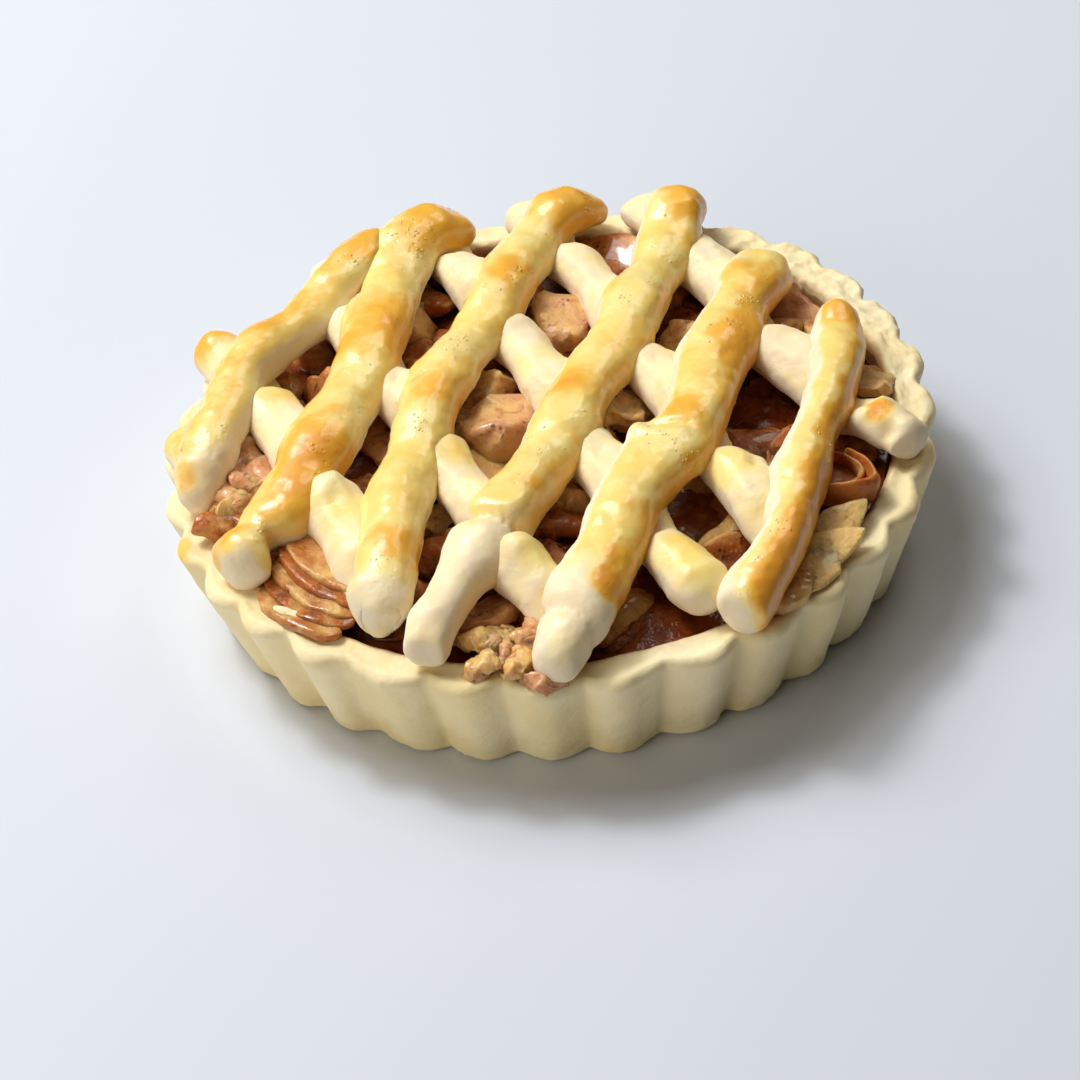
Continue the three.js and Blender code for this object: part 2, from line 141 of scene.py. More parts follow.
class NodeBuilder:
    """Adds nodes to a shader or Geometry Nodes tree and wires them."""

    def __init__(self, tree: bpy.types.NodeTree) -> None:
        """Keeps the tree that the nodes go into."""
        self.tree = tree

    def feed(self, socket: Socket, value: Value) -> None:
        """Links an input to an output, or sets the input's own value.

        Args:
            socket: The input.
            value: An output to link, or a plain value.
        """
        if isinstance(value, Socket):
            self.tree.links.new(value, socket)
        else:
            socket.default_value = value

    def node(
        self, kind: str, inputs: dict[str | int, Value] | None = None, **settings: Any
    ) -> bpy.types.Node:
        """Adds a node.

        Args:
            kind: The node's type.
            inputs: Values or outputs for its inputs, by name or number.
            **settings: Properties of the node itself.

        Returns:
            The new node.
        """
        node = self.tree.nodes.new(kind)
        for name, setting in settings.items():
            setattr(node, name, setting)
        for key, value in (inputs or {}).items():
            self.feed(node.inputs[key], value)
        return node

    def out(self, kind: str, inputs: dict[str | int, Value] | None = None, **settings: Any) -> Socket:
        """Adds a node, as node does, and gives its first output."""
        return self.node(kind, inputs, **settings).outputs[0]

    def math(self, operation: str, *values: Value) -> Socket:
        """Adds a Math node with one to three inputs."""
        return self.out("ShaderNodeMath", dict(enumerate(values)), operation=operation)

    def plus(self, first: Value, second: Value) -> Socket:
        """Adds two numbers."""
        return self.math("ADD", first, second)

    def minus(self, first: Value, second: Value) -> Socket:
        """Takes the second number from the first."""
        return self.math("SUBTRACT", first, second)

    def times(self, first: Value, second: Value) -> Socket:
        """Multiplies two numbers."""
        return self.math("MULTIPLY", first, second)

    def times_plus(self, first: Value, second: Value, third: Value) -> Socket:
        """Multiplies two numbers and adds a third."""
        return self.math("MULTIPLY_ADD", first, second, third)

    def scaled(self, vector: Value, scale: Value) -> Socket:
        """Multiplies a vector by a number."""
        inputs = {"Vector": vector, "Scale": scale}
        return self.out("ShaderNodeVectorMath", inputs, operation="SCALE")

    def distance(self, first: Value, second: Value) -> Socket:
        """Measures how far apart two places are."""
        return self.node("ShaderNodeVectorMath", {0: first, 1: second}, operation="DISTANCE").outputs["Value"]

    def combine(self, x: Value, y: Value, z: Value) -> Socket:
        """Joins three numbers into a vector."""
        return self.out("ShaderNodeCombineXYZ", {0: x, 1: y, 2: z})

    def separate(self, vector: Value) -> bpy.types.bpy_prop_collection:
        """Splits a vector into its three numbers."""
        return self.node("ShaderNodeSeparateXYZ", {0: vector}).outputs

    def _scale(self, size: Value) -> Value:
        """Turns the size of a texture's features into its scale."""
        return self.math("DIVIDE", 1.0, size) if isinstance(size, Socket) else 1.0 / size

    def noise(self, place: Value, size: Value, detail: float = 2.0, warp: float = 0.0) -> Socket:
        """Adds soft noise.

        Args:
            place: Where the noise is read, in metres.
            size: Size of its lumps, in metres.
            detail: How many finer layers it has.
            warp: How much it is twisted.

        Returns:
            The noise, from 0 to 1 and mostly near 0.5.
        """
        inputs = {"Vector": place, "Scale": self._scale(size), "Detail": detail, "Distortion": warp}
        return self.out("ShaderNodeTexNoise", inputs)

    def ripple(
        self, place: Value, size: Value, height: Value, detail: float = 2.0, warp: float = 0.0
    ) -> Socket:
        """Gives noise that swings either side of zero.

        Args:
            place: Where it is read, in metres.
            size: Size of its lumps, in metres.
            height: How far it swings at most.
            detail: How many finer layers it has.
            warp: How much it is twisted.

        Returns:
            The noise, from minus height to plus height.
        """
        return self.times(self.times_plus(self.noise(place, size, detail, warp), 2.0, -1.0), height)

    def cells(self, place: Value, size: Value) -> Socket:
        """Adds a cell pattern.

        Args:
            place: Where the pattern is read, in metres.
            size: Size of a cell, in metres.

        Returns:
            The distance from a cell's middle, in cells.
        """
        inputs = {"Vector": place, "Scale": self._scale(size)}
        return self.node("ShaderNodeTexVoronoi", inputs).outputs["Distance"]

    def smooth(self, value: Value, low: Value, high: Value) -> Socket:
        """Maps a value smoothly to a share.

        Args:
            value: The value to map.
            low: Where the share is 0.
            high: Where the share is 1.

        Returns:
            The share, from 0 to 1.
        """
        inputs = {0: value, 1: low, 2: high, 3: 0.0, 4: 1.0}
        return self.out("ShaderNodeMapRange", inputs, interpolation_type="SMOOTHSTEP")

    def blend(self, share: Value, first: Value, second: Value) -> Socket:
        """Mixes two colours by the second one's share."""
        return self.node("ShaderNodeMix", {0: share, 6: first, 7: second}, data_type="RGBA").outputs[2]

    def mix(self, share: Value, first: Value, second: Value) -> Socket:
        """Mixes two numbers by the second one's share."""
        return self.out("ShaderNodeMix", {0: share, 2: first, 3: second}, data_type="FLOAT")


@dataclass(frozen=True)
class Relief:
    """Uneven dough: the size of its lumps, how far they swing, and how many finer layers they have."""

    size: float
    height: float
    detail: float = 2.0


class GeometryRecipe:
    """A Geometry Nodes tree with named inputs, which runs on an object and leaves a plain mesh."""

    def __init__(self, name: str, inputs: dict[str, float | int]) -> None:
        """Makes the tree with its inputs.

        Args:
            name: Name of the tree.
            inputs: Its named numbers with their usual values.
        """
        self.tree = bpy.data.node_groups.new(name, "GeometryNodeTree")
        self.tree.is_modifier = True
        self.identifiers: dict[str, str] = {}
        self._socket("Geometry", "NodeSocketGeometry")
        for label, value in inputs.items():
            kind = "NodeSocketInt" if isinstance(value, int) else "NodeSocketFloat"
            self._socket(label, kind).default_value = value
        self._socket("Material", "NodeSocketMaterial")
        self.tree.interface.new_socket("Geometry", in_out="OUTPUT", socket_type="NodeSocketGeometry")
        self.nodes = NodeBuilder(self.tree)
        self.given = self.nodes.node("NodeGroupInput").outputs

    def _socket(self, label: str, kind: str) -> bpy.types.NodeTreeInterfaceSocket:
        """Adds one named input and remembers its identifier.

        Args:
            label: Name of the input.
            kind: Type of the input.

        Returns:
            The input.
        """
        socket = self.tree.interface.new_socket(label, in_out="INPUT", socket_type=kind)
        self.identifiers[label] = socket.identifier
        return socket

    def rough(self, relief: Relief, label: str) -> Socket:
        """Makes uneven dough whose height is the tree's input of that name.

        Args:
            relief: The size and detail of its lumps.
            label: The input that gives its height.

        Returns:
            How far the surface moves out.
        """
        position = self.nodes.out("GeometryNodeInputPosition")
        return self.nodes.ripple(position, relief.size * MM, self.given[label], relief.detail)

    def end(self, geometry: Socket) -> None:
        """Ends the tree: instances become real, faces shade smoothly and the material is set.

        Args:
            geometry: What the tree has made.
        """
        real = self.nodes.out("GeometryNodeRealizeInstances", {0: geometry})
        smooth = self.nodes.out("GeometryNodeSetShadeSmooth", {"Geometry": real})
        inputs = {"Geometry": smooth, "Material": self.given["Material"]}
        dressed = self.nodes.out("GeometryNodeSetMaterial", inputs)
        self.nodes.node("NodeGroupOutput", {0: dressed})

    def run(self, piece: Piece, material: Material, **values: float | int) -> None:
        """Runs the tree on an object and keeps the result as its mesh.

        Args:
            piece: The object whose mesh the tree starts from.
            material: The finish of the result.
            **values: Inputs by name, with underscores for spaces.
        """
        modifier = piece.modifiers.new(self.tree.name, "NODES")
        modifier.node_group = self.tree
        for label, value in values.items():
            modifier[self.identifiers[label.replace("_", " ")]] = value
        modifier[self.identifiers["Material"]] = material
        settle(piece)


def settle(piece: Piece) -> None:
    """Turns an object's modifiers into its plain mesh.

    Args:
        piece: The object, which ends without modifiers.
    """
    depsgraph = bpy.context.evaluated_depsgraph_get()
    evaluated = piece.evaluated_get(depsgraph)
    mesh = bpy.data.meshes.new_from_object(evaluated, preserve_all_data_layers=True, depsgraph=depsgraph)
    before = piece.data
    piece.modifiers.clear()
    piece.data = mesh
    bpy.data.meshes.remove(before)
    mesh.name = piece.name


def add_piece(name: str, mesh: bpy.types.Mesh) -> Piece:
    """Puts a mesh into the scene as an object at the origin.

    Args:
        name: Name of the object.
        mesh: Its mesh.

    Returns:
        The object.
    """
    piece = bpy.data.objects.new(name, mesh)
    bpy.context.scene.collection.objects.link(piece)
    return piece


def add_skin(name: str, points: Sequence[Place], faces: Faces, material: Material) -> Piece:
    """Makes a smoothly shaded piece from points and faces.

    Args:
        name: Name of the piece.
        points: Its points, in metres.
        faces: Its faces.
        material: Its finish.

    Returns:
        The piece.
    """
    mesh = bpy.data.meshes.new(name)
    mesh.from_pydata(points, [], faces)
    mesh.materials.append(material)
    mesh.shade_smooth()
    return add_piece(name, mesh)


def joined_rings(loops: int, sides: int) -> Faces:
    """Joins rings of points to a closed skin, with a fan to a single point at either end.

    Args:
        loops: How many rings lie between the first and the last point.
        sides: How many points each ring has.

    Returns:
        The faces.
    """
    faces: Faces = []
    last = 1 + (loops - 1) * sides
    for side in range(sides):
        after = (side + 1) % sides
        faces.append((0, 1 + after, 1 + side))
        for low in range(1, last, sides):
            high = low + sides
            faces.append((low + side, low + after, high + after, high + side))
        faces.append((last + sides, last + side, last + after))
    return faces


def declare(piece: Piece, slot: Slot, *nodes: str) -> None:
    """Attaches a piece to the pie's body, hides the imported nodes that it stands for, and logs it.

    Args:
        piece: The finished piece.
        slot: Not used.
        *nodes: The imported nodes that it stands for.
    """
    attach(piece, BODY)
    if nodes:
        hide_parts(*nodes)
    LOG.info("%s: %d faces, for %s", piece.name, len(piece.data.polygons), ", ".join(nodes) or "dressing")


def coordinates(mesh: bpy.types.Mesh, what: str = "co") -> np.ndarray:
    """Reads every vertex's place or normal.

    Args:
        mesh: The mesh to read.
        what: co for places, normal for normals.

    Returns:
        One row of three numbers for each vertex.
    """
    values = np.empty(len(mesh.vertices) * 3, np.float32)
    mesh.vertices.foreach_get(what, values)
    return values.reshape(-1, 3)


def read_trait(mesh: bpy.types.Mesh, trait: Trait) -> np.ndarray:
    """Reads one value for each point of a mesh.

    Args:
        mesh: The mesh.
        trait: The value's name.

    Returns:
        The values.
    """
    values = np.empty(len(mesh.vertices), np.float32)
    mesh.attributes[trait.value].data.foreach_get("value", values)
    return values


def write_trait(mesh: bpy.types.Mesh, trait: Trait, values: np.ndarray) -> None:
    """Stores a value on every vertex for the material to read.

    Args:
        mesh: The mesh that carries the values.
        trait: What they mean.
        values: One value for each vertex.
    """
    layer = mesh.attributes.get(trait.value) or mesh.attributes.new(trait.value, "FLOAT", "POINT")
    layer.data.foreach_set("value", values.astype(np.float32))


def dough_tree(pieces: Iterable[Piece]) -> BVHTree:
    """Gathers the faces of some pieces for quick searches.

    Args:
        pieces: The pieces to search.

    Returns:
        A search tree of all their faces.
    """
    points: list[tuple[float, ...]] = []
    faces: Faces = []
    for piece in pieces:
        start = len(points)
        points += [tuple(place) for place in coordinates(piece.data)]
        faces += [tuple(start + corner for corner in face.vertices) for face in piece.data.polygons]
    return BVHTree.FromPolygons(points, faces)


class ShaderEffect:
    """A shader node group with named inputs and outputs."""

    def __init__(self, name: str, inputs: dict[str, float | None], outputs: Sequence[str]) -> None:
        """Makes the group with its sockets.

        Args:
            name: Name of the group.
            inputs: Its inputs with their usual values; None stands for a place.
            outputs: Names of the values that it puts out.
        """
        self.tree = bpy.data.node_groups.new(name, "ShaderNodeTree")
        for label, value in inputs.items():
            kind = "NodeSocketVector" if value is None else "NodeSocketFloat"
            socket = self.tree.interface.new_socket(label, in_out="INPUT", socket_type=kind)
            if value is not None:
                socket.default_value = value
        for label in outputs:
            self.tree.interface.new_socket(label, in_out="OUTPUT", socket_type="NodeSocketFloat")
        self.nodes = NodeBuilder(self.tree)
        self.given = self.nodes.node("NodeGroupInput").outputs
        self.result = self.nodes.node("NodeGroupOutput").inputs

    def put_out(self, **values: Socket) -> None:
        """Links the group's outputs by name."""
        for label, value in values.items():
            self.nodes.feed(self.result[label], value)

    def place(self, builder: NodeBuilder, inputs: dict[str, Value]) -> bpy.types.bpy_prop_collection:
        """Puts the group into a material.

        Args:
            builder: The material's node builder.
            inputs: The values of this use, by name.

        Returns:
            The outputs of the group there.
        """
        return builder.node("ShaderNodeGroup", inputs, node_tree=self.tree).outputs


@dataclass
class PieEffects:
    """The shader effects that the pie's finishes share.

    A band gives where a mask is empty and where it is full.
    """

    pore_spacing: float = 3.4
    pore_band: Band = (0.05, 0.3)
    pore_share: float = 0.35
    ragged: float = 0.45
    gloss_band: Band = (0.15, 0.75)
    patch_share: float = 0.8
    patchy: float = 0.5
    toast_band: Band = (0.1, 1.0)
    pit: float = 1.2 * MM
    pit_band: Band = (0.3, 0.1)
    pit_crowd: float = 6 * MM
    pit_crowd_band: Band = (0.5, 0.66)
    shore: float = 3 * MM
    shore_swing: float = 1.2 * MM
    shore_fade: float = 2 * MM
    speck_band: Band = (0.34, 0.2)
    clump: float = 4 * MM
    clump_full: float = 0.72

    def __post_init__(self) -> None:
        """Builds each effect once."""
        self.dough = self._dough()
        self.wash = self._wash()
        self.soak = self._soak()
        self.cinnamon = self._cinnamon()

    def _dough(self) -> ShaderEffect:
        """Makes the mottled colour and the fine crumb of baked dough.

        Returns:
            The node group.
        """
        inputs = {"Place": None, "Patch": 8 * MM, "Grain": 0.9 * MM}
        effect = ShaderEffect("baked dough", inputs, ("Mottle", "Height"))
        nodes, given = effect.nodes, effect.given
        place, grain = given["Place"], given["Grain"]
        mottle = nodes.noise(place, given["Patch"], detail=4.0)
        crumb = nodes.noise(place, grain, detail=3.0)
        pores = nodes.smooth(nodes.cells(place, nodes.times(grain, self.pore_spacing)), *self.pore_band)
        effect.put_out(Mottle=mottle, Height=nodes.mix(self.pore_share, crumb, pores))
        return effect

    def _wash(self) -> ShaderEffect:
        """Makes the brushed egg wash with its browner patches and pits.

        Returns:
            The node group.
        """
        inputs = {"Place": None, "Wash": 1.0, "Toast": 0.3, "Streak": 6 * MM}
        effect = ShaderEffect("egg wash", inputs, ("Gloss", "Brown", "Pits"))
        nodes, given = effect.nodes, effect.given
        place, streak = given["Place"], given["Streak"]
        ragged = nodes.ripple(place, streak, self.ragged, detail=4.0, warp=0.5)
        gloss = nodes.smooth(nodes.plus(given["Wash"], ragged), *self.gloss_band)
        patches = nodes.ripple(place, nodes.times(streak, self.patch_share), self.patchy, detail=4.0)
        toasted = nodes.smooth(nodes.plus(given["Toast"], patches), *self.toast_band)
        pits = nodes.smooth(nodes.cells(place, self.pit), *self.pit_band)
        crowded = nodes.smooth(nodes.noise(place, self.pit_crowd), *self.pit_crowd_band)
        pits = nodes.times(pits, nodes.times(crowded, gloss))
        effect.put_out(Gloss=gloss, Brown=nodes.times(toasted, gloss), Pits=pits)
        return effect

    def _soak(self) -> ShaderEffect:
        """Makes the stain of syrup where dough touches the filling.

        Returns:
            The node group.
        """
        inputs = {"Place": None, "Level": 18 * MM, "Fade": 1.6 * MM, "Reach": 47.5 * MM, "Bottom": 12 * MM}
        effect = ShaderEffect("syrup stain", inputs, ("Mask",))
        nodes, given = effect.nodes, effect.given
        x, y, z = nodes.separate(given["Place"])
        wavy = nodes.plus(z, nodes.ripple(given["Place"], self.shore, self.shore_swing))
        low = nodes.smooth(wavy, nodes.plus(given["Level"], given["Fade"]), given["Level"])
        out = nodes.math("SQRT", nodes.times_plus(x, x, nodes.times(y, y)))
        inner = nodes.smooth(out, given["Reach"], nodes.minus(given["Reach"], self.shore_fade))
        above = nodes.smooth(z, given["Bottom"], nodes.plus(given["Bottom"], self.shore_fade))
        effect.put_out(Mask=nodes.times(nodes.times(low, inner), above))
        return effect

    def _cinnamon(self) -> ShaderEffect:
        """Makes specks of ground cinnamon.

        Returns:
            The node group.
        """
        effect = ShaderEffect("cinnamon", {"Place": None, "Speck": 1.1 * MM, "Amount": 0.5}, ("Mask",))
        nodes, given = effect.nodes, effect.given
        place = given["Place"]
        specks = nodes.smooth(nodes.cells(place, given["Speck"]), *self.speck_band)
        sparse = nodes.minus(1.0, given["Amount"])
        clumps = nodes.smooth(nodes.noise(place, self.clump, detail=3.0), sparse, self.clump_full)
        effect.put_out(Mask=nodes.times(specks, clumps))
        return effect


class MaterialDraft:
    """A material with its shader and the piece's own coordinates at hand."""

    def __init__(self, name: str) -> None:
        """Starts an empty material.

        Args:
            name: Name of the material.
        """
        self.material = bpy.data.materials.new(name)
        self.material.use_nodes = True
        tree = self.material.node_tree
        tree.nodes.clear()
        self.nodes = NodeBuilder(tree)
        self.shader = self.nodes.node("ShaderNodeBsdfPrincipled")
        self.nodes.node("ShaderNodeOutputMaterial", {"Surface": self.shader.outputs[0]})
        self.place = self.nodes.node("ShaderNodeTexCoord").outputs["Object"]

    def trait(self, trait: Trait) -> Socket:
        """Reads a value that the mesh carries."""
        return self.nodes.node("ShaderNodeAttribute", attribute_name=trait.value).outputs["Fac"]

    def set(self, sockets: dict[str, Value]) -> None:
        """Sets or links the shader's inputs by name."""
        for label, value in sockets.items():
            self.nodes.feed(self.shader.inputs[label], value)

    def bump(self, height: Socket, depth: float) -> None:
        """Gives the surface fine relief.

        Args:
            height: The relief, from 0 to 1.
            depth: How deep it is, in metres.
        """
        inputs = {"Height": height, "Distance": depth, "Strength": 1.0}
        self.set({"Normal": self.nodes.out("ShaderNodeBump", inputs)})


@dataclass(frozen=True)
class CrustFinish:
    """Pale, hardly browned shortcrust with a drop of egg yolk on its rim."""

    name: str = "pale shortcrust"
    cream: Colour = srgb(241, 220, 164)
    ivory: Colour = srgb(246, 230, 186)
    toasted: Colour = srgb(228, 194, 124)
    yolk: Colour = srgb(250, 186, 52)
    syrup: Colour = srgb(178, 118, 56)
    patch: float = 9 * MM
    mottle_band: Band = (0.3, 0.7)
    toasted_patch: float = 13 * MM
    toasted_band: Band = (0.56, 0.78)
    toasted_share: float = 0.35
    drop_place: Place = (-52.6 * MM, -15.8 * MM, 16.6 * MM)
    drop_band: Band = (2.9 * MM, 1.45 * MM)
    drop_wave: float = 2.5 * MM
    drop_swing: float = 1.6 * MM
    drop_share: float = 0.8
    soak_level: float = 17.4 * MM
    soak_fade: float = 0.5 * MM
    soak_reach: float = 50.4 * MM
    soak_share: float = 0.8
    grain: float = 0.8 * MM
    relief: float = 0.16 * MM

    def material(self, effects: PieEffects) -> Material:
        """Makes the material.

        Args:
            effects: The shared shader effects.

        Returns:
            The finished material.
        """
        draft = MaterialDraft(self.name)
        nodes, place = draft.nodes, draft.place
        dough = effects.dough.place(nodes, {"Place": place, "Patch": self.patch, "Grain": self.grain})
        colour = nodes.blend(nodes.smooth(dough["Mottle"], *self.mottle_band), self.cream, self.ivory)
        golden = nodes.smooth(nodes.noise(place, self.toasted_patch, detail=3.0), *self.toasted_band)
        colour = nodes.blend(nodes.times(golden, self.toasted_share), colour, self.toasted)
        wavy = nodes.ripple(place, self.drop_wave, self.drop_swing)
        drop = nodes.smooth(nodes.plus(nodes.distance(place, self.drop_place), wavy), *self.drop_band)
        colour = nodes.blend(nodes.times(drop, self.drop_share), colour, self.yolk)
        shore = {"Place": place, "Level": self.soak_level, "Fade": self.soak_fade, "Reach": self.soak_reach}
        soak = effects.soak.place(nodes, shore)
        colour = nodes.blend(nodes.times(soak["Mask"], self.soak_share), colour, self.syrup)
        draft.set({
            "Base Color": colour,
            "Roughness": 0.62,
            "Specular IOR Level": 0.35,
            "Subsurface Weight": 0.12,
            "Subsurface Radius": (1.0, 0.6, 0.3),
            "Subsurface Scale": 2 * MM,
        })
        draft.bump(dough["Height"], self.relief)
        return draft.material


@dataclass(frozen=True)
class DoughFinish:
    """Dough strips: cream where the brush missed, straw to amber under the egg wash.

    The roughness and the grain's share are given for bare and for brushed dough.
    """

    name: str
    gloss: float
    cream: Colour = srgb(237, 216, 176)
    ivory: Colour = srgb(243, 228, 198)
    straw: Colour = srgb(252, 229, 148)
    gold: Colour = srgb(250, 215, 113)
    amber: Colour = srgb(246, 183, 58)
    russet: Colour = srgb(237, 159, 46)
    syrup: Colour = srgb(150, 88, 34)
    patch: float = 6 * MM
    mottle_band: Band = (0.32, 0.68)
    amber_band: Band = (0.0, 0.6)
    russet_band: Band = (0.6, 1.1)
    soak_share: float = 0.75
    roughness: Band = (0.66, 0.4)
    grain: float = 0.7 * MM
    grain_share: Band = (0.6, 0.35)
    pit_share: float = -0.3
    relief: float = 0.2 * MM

    def material(self, effects: PieEffects) -> Material:
        """Makes the material.

        Args:
            effects: The shared shader effects.

        Returns:
            The finished material.
        """
        draft = MaterialDraft(self.name)
        nodes, place = draft.nodes, draft.place
        dough = effects.dough.place(nodes, {"Place": place, "Patch": self.patch, "Grain": self.grain})
        brushing = {"Place": place, "Wash": draft.trait(Trait.WASH), "Toast": draft.trait(Trait.BROWNING_AND_SHADE)}
        wash = effects.wash.place(nodes, brushing)
        soak = effects.soak.place(nodes, {"Place": place})
        mottle = nodes.smooth(dough["Mottle"], *self.mottle_band)
        bare = nodes.blend(mottle, self.cream, self.ivory)
        brushed = nodes.blend(mottle, self.gold, self.straw)
        colour = nodes.blend(wash["Gloss"], bare, brushed)
        # The browning here includes painted shade on the flank that faces away from the light.
        colour = nodes.blend(nodes.smooth(wash["Brown"], *self.amber_band), colour, self.amber)
        colour = nodes.blend(nodes.smooth(wash["Brown"], *self.russet_band), colour, self.russet)
        colour = nodes.blend(nodes.times(soak["Mask"], self.soak_share), colour, self.syrup)
        draft.set({
            "Base Color": colour,
            "Roughness": nodes.mix(wash["Gloss"], *self.roughness),
            "Specular IOR Level": 0.6,
            "Coat Weight": nodes.times(wash["Gloss"], self.gloss),
            "Coat Roughness": 0.12,
            "Subsurface Weight": 0.2,
            "Subsurface Radius": (1.0, 0.62, 0.26),
            "Subsurface Scale": 2 * MM,
        })
        grain = nodes.times(dough["Height"], nodes.mix(wash["Gloss"], *self.grain_share))
        draft.bump(nodes.times_plus(wash["Pits"], self.pit_share, grain), self.relief)
        return draft.material


@dataclass(frozen=True)
class AppleFinish:
    """Stewed apple: tan and pinkish flesh, stained by syrup, dusted with cinnamon and wet in patches, and
    darker on its lower points where painted shade stands in for the hollows.
    """

    name: str = "stewed apple"
    flesh: Colour = srgb(230, 187, 116)
    blush: Colour = srgb(214, 156, 112)
    stained: Colour = srgb(172, 92, 28)
    # dark is syrup-soaked apple, and also the painted shade on the pieces' lower points.
    dark: Colour = srgb(78, 30, 8)
    speck: Colour = srgb(58, 24, 8)
    sheen: Colour = srgb(255, 236, 206)
    blotch: float = 4 * MM
    blotch_swing: float = 0.5
    blush_blotch: float = 1.2
    blush_band: Band = (0.2, 0.8)
    stain_band: Band = (0.25, 0.85)
    dark_blotch: float = 0.8
    dark_band: Band = (0.75, 1.2)
    vein: float = 2.2 * MM
    vein_band: Band = (0.54, 0.72)
    vein_share: float = 0.55
    speck_share: float = 0.85
    wet_band: Band = (-0.14, 0.12)
    wetness: float = 0.6
    fibre: float = 0.9 * MM
    roughness: Band = (0.22, 0.5)
    lump: float = 2.4 * MM
    lump_share: float = 0.8
    speck_rise: float = 0.4
    relief: float = 0.34 * MM

    def material(self, effects: PieEffects) -> Material:
        """Makes the material.

        Args:
            effects: The shared shader effects.

        Returns:
            The finished material.
        """
        draft = MaterialDraft(self.name)
        nodes, place = draft.nodes, draft.place
        tint, toast = draft.trait(Trait.TINT), draft.trait(Trait.BROWNING_AND_SHADE)
        blotch = nodes.ripple(place, self.blotch, self.blotch_swing, detail=4.0, warp=0.4)
        blushed = nodes.smooth(nodes.times_plus(blotch, self.blush_blotch, tint), *self.blush_band)
        colour = nodes.blend(blushed, self.flesh, self.blush)
        # The toast trait includes painted shade on low points, so the stained and dark blends below are
        # partly painted shade.
        stain = nodes.smooth(nodes.times_plus(blotch, self.blush_blotch, toast), *self.stain_band)
        colour = nodes.blend(stain, colour, self.stained)
        soaked_and_shaded = nodes.smooth(nodes.times_plus(blotch, self.dark_blotch, toast), *self.dark_band)
        colour = nodes.blend(soaked_and_shaded, colour, self.dark)
        veins = nodes.smooth(nodes.noise(place, self.vein, detail=5.0, warp=0.65), *self.vein_band)
        colour = nodes.blend(nodes.times(veins, self.vein_share), colour, self.stained)
        cinnamon = effects.cinnamon.place(nodes, {"Place": place})
        colour = nodes.blend(nodes.times(cinnamon["Mask"], self.speck_share), colour, self.speck)
        fibres = nodes.noise(place, self.fibre, detail=4.0)
        draft.set({
            "Base Color": colour,
            "Roughness": nodes.mix(fibres, *self.roughness),
            "Specular IOR Level": 0.34,
            "Specular Tint": self.sheen,
            "Coat Weight": nodes.times(nodes.smooth(blotch, *self.wet_band), self.wetness),
            "Coat Roughness": 0.08,
            "Subsurface Weight": 0.45,
            "Subsurface Radius": (1.0, 0.66, 0.4),
            "Subsurface Scale": 2.6 * MM,
        })
        lumpy = nodes.times_plus(nodes.noise(place, self.lump, detail=3.0), self.lump_share, fibres)
        draft.bump(nodes.times_plus(cinnamon["Mask"], self.speck_rise, lumpy), self.relief)
        return draft.material


@dataclass(frozen=True)
class SyrupFinish:
    """Dark caramel syrup between the apple pieces."""

    name: str = "caramel syrup"
    deep: Colour = srgb(92, 34, 8)
    amber: Colour = srgb(146, 68, 20)
    speck: Colour = srgb(34, 12, 4)
    cloud: float = 6 * MM
    amber_band: Band = (0.35, 0.75)
    cinnamon: float = 0.6
    speck_share: float = 0.7
    roughness: Band = (0.16, 0.34)
    ripple: float = 1.9 * MM
    relief: float = 0.5 * MM

    def material(self, effects: PieEffects) -> Material:
        """Makes the material.

        Args:
            effects: The shared shader effects.

        Returns:
            The finished material.
        """
        draft = MaterialDraft(self.name)
        nodes, place = draft.nodes, draft.place
        cloud = nodes.noise(place, self.cloud, detail=4.0)
        specks = effects.cinnamon.place(nodes, {"Place": place, "Amount": self.cinnamon})
        colour = nodes.blend(nodes.smooth(cloud, *self.amber_band), self.deep, self.amber)
        colour = nodes.blend(nodes.times(specks["Mask"], self.speck_share), colour, self.speck)
        draft.set({
            "Base Color": colour,
            "Roughness": nodes.mix(cloud, *self.roughness),
            "Specular IOR Level": 0.5,
            "Coat Weight": 0.4,
            "Coat Roughness": 0.06,
        })
        draft.bump(nodes.noise(place, self.ripple, detail=3.0), self.relief)
        return draft.material


@dataclass(frozen=True)
class FloorFinish:
    """A plain pale floor."""

    name: str = "pale floor"
    colour: Colour = srgb(209, 214, 222)
    shade: Colour = srgb(204, 209, 218)
    cloud: float = 0.2

    def material(self) -> Material:
        """Makes the material.

        Returns:
            The finished material.
        """
        draft = MaterialDraft(self.name)
        shade = draft.nodes.blend(draft.nodes.noise(draft.place, self.cloud), self.colour, self.shade)
        draft.set({"Base Color": shade, "Roughness": 0.6})
        return draft.material


@dataclass(frozen=True)
class ProfilePoint:
    """One point of the shell's section: its place, and its shares of the flutes and the wavy rim."""

    radius: float
    rise: float
    flute: float
    top: float


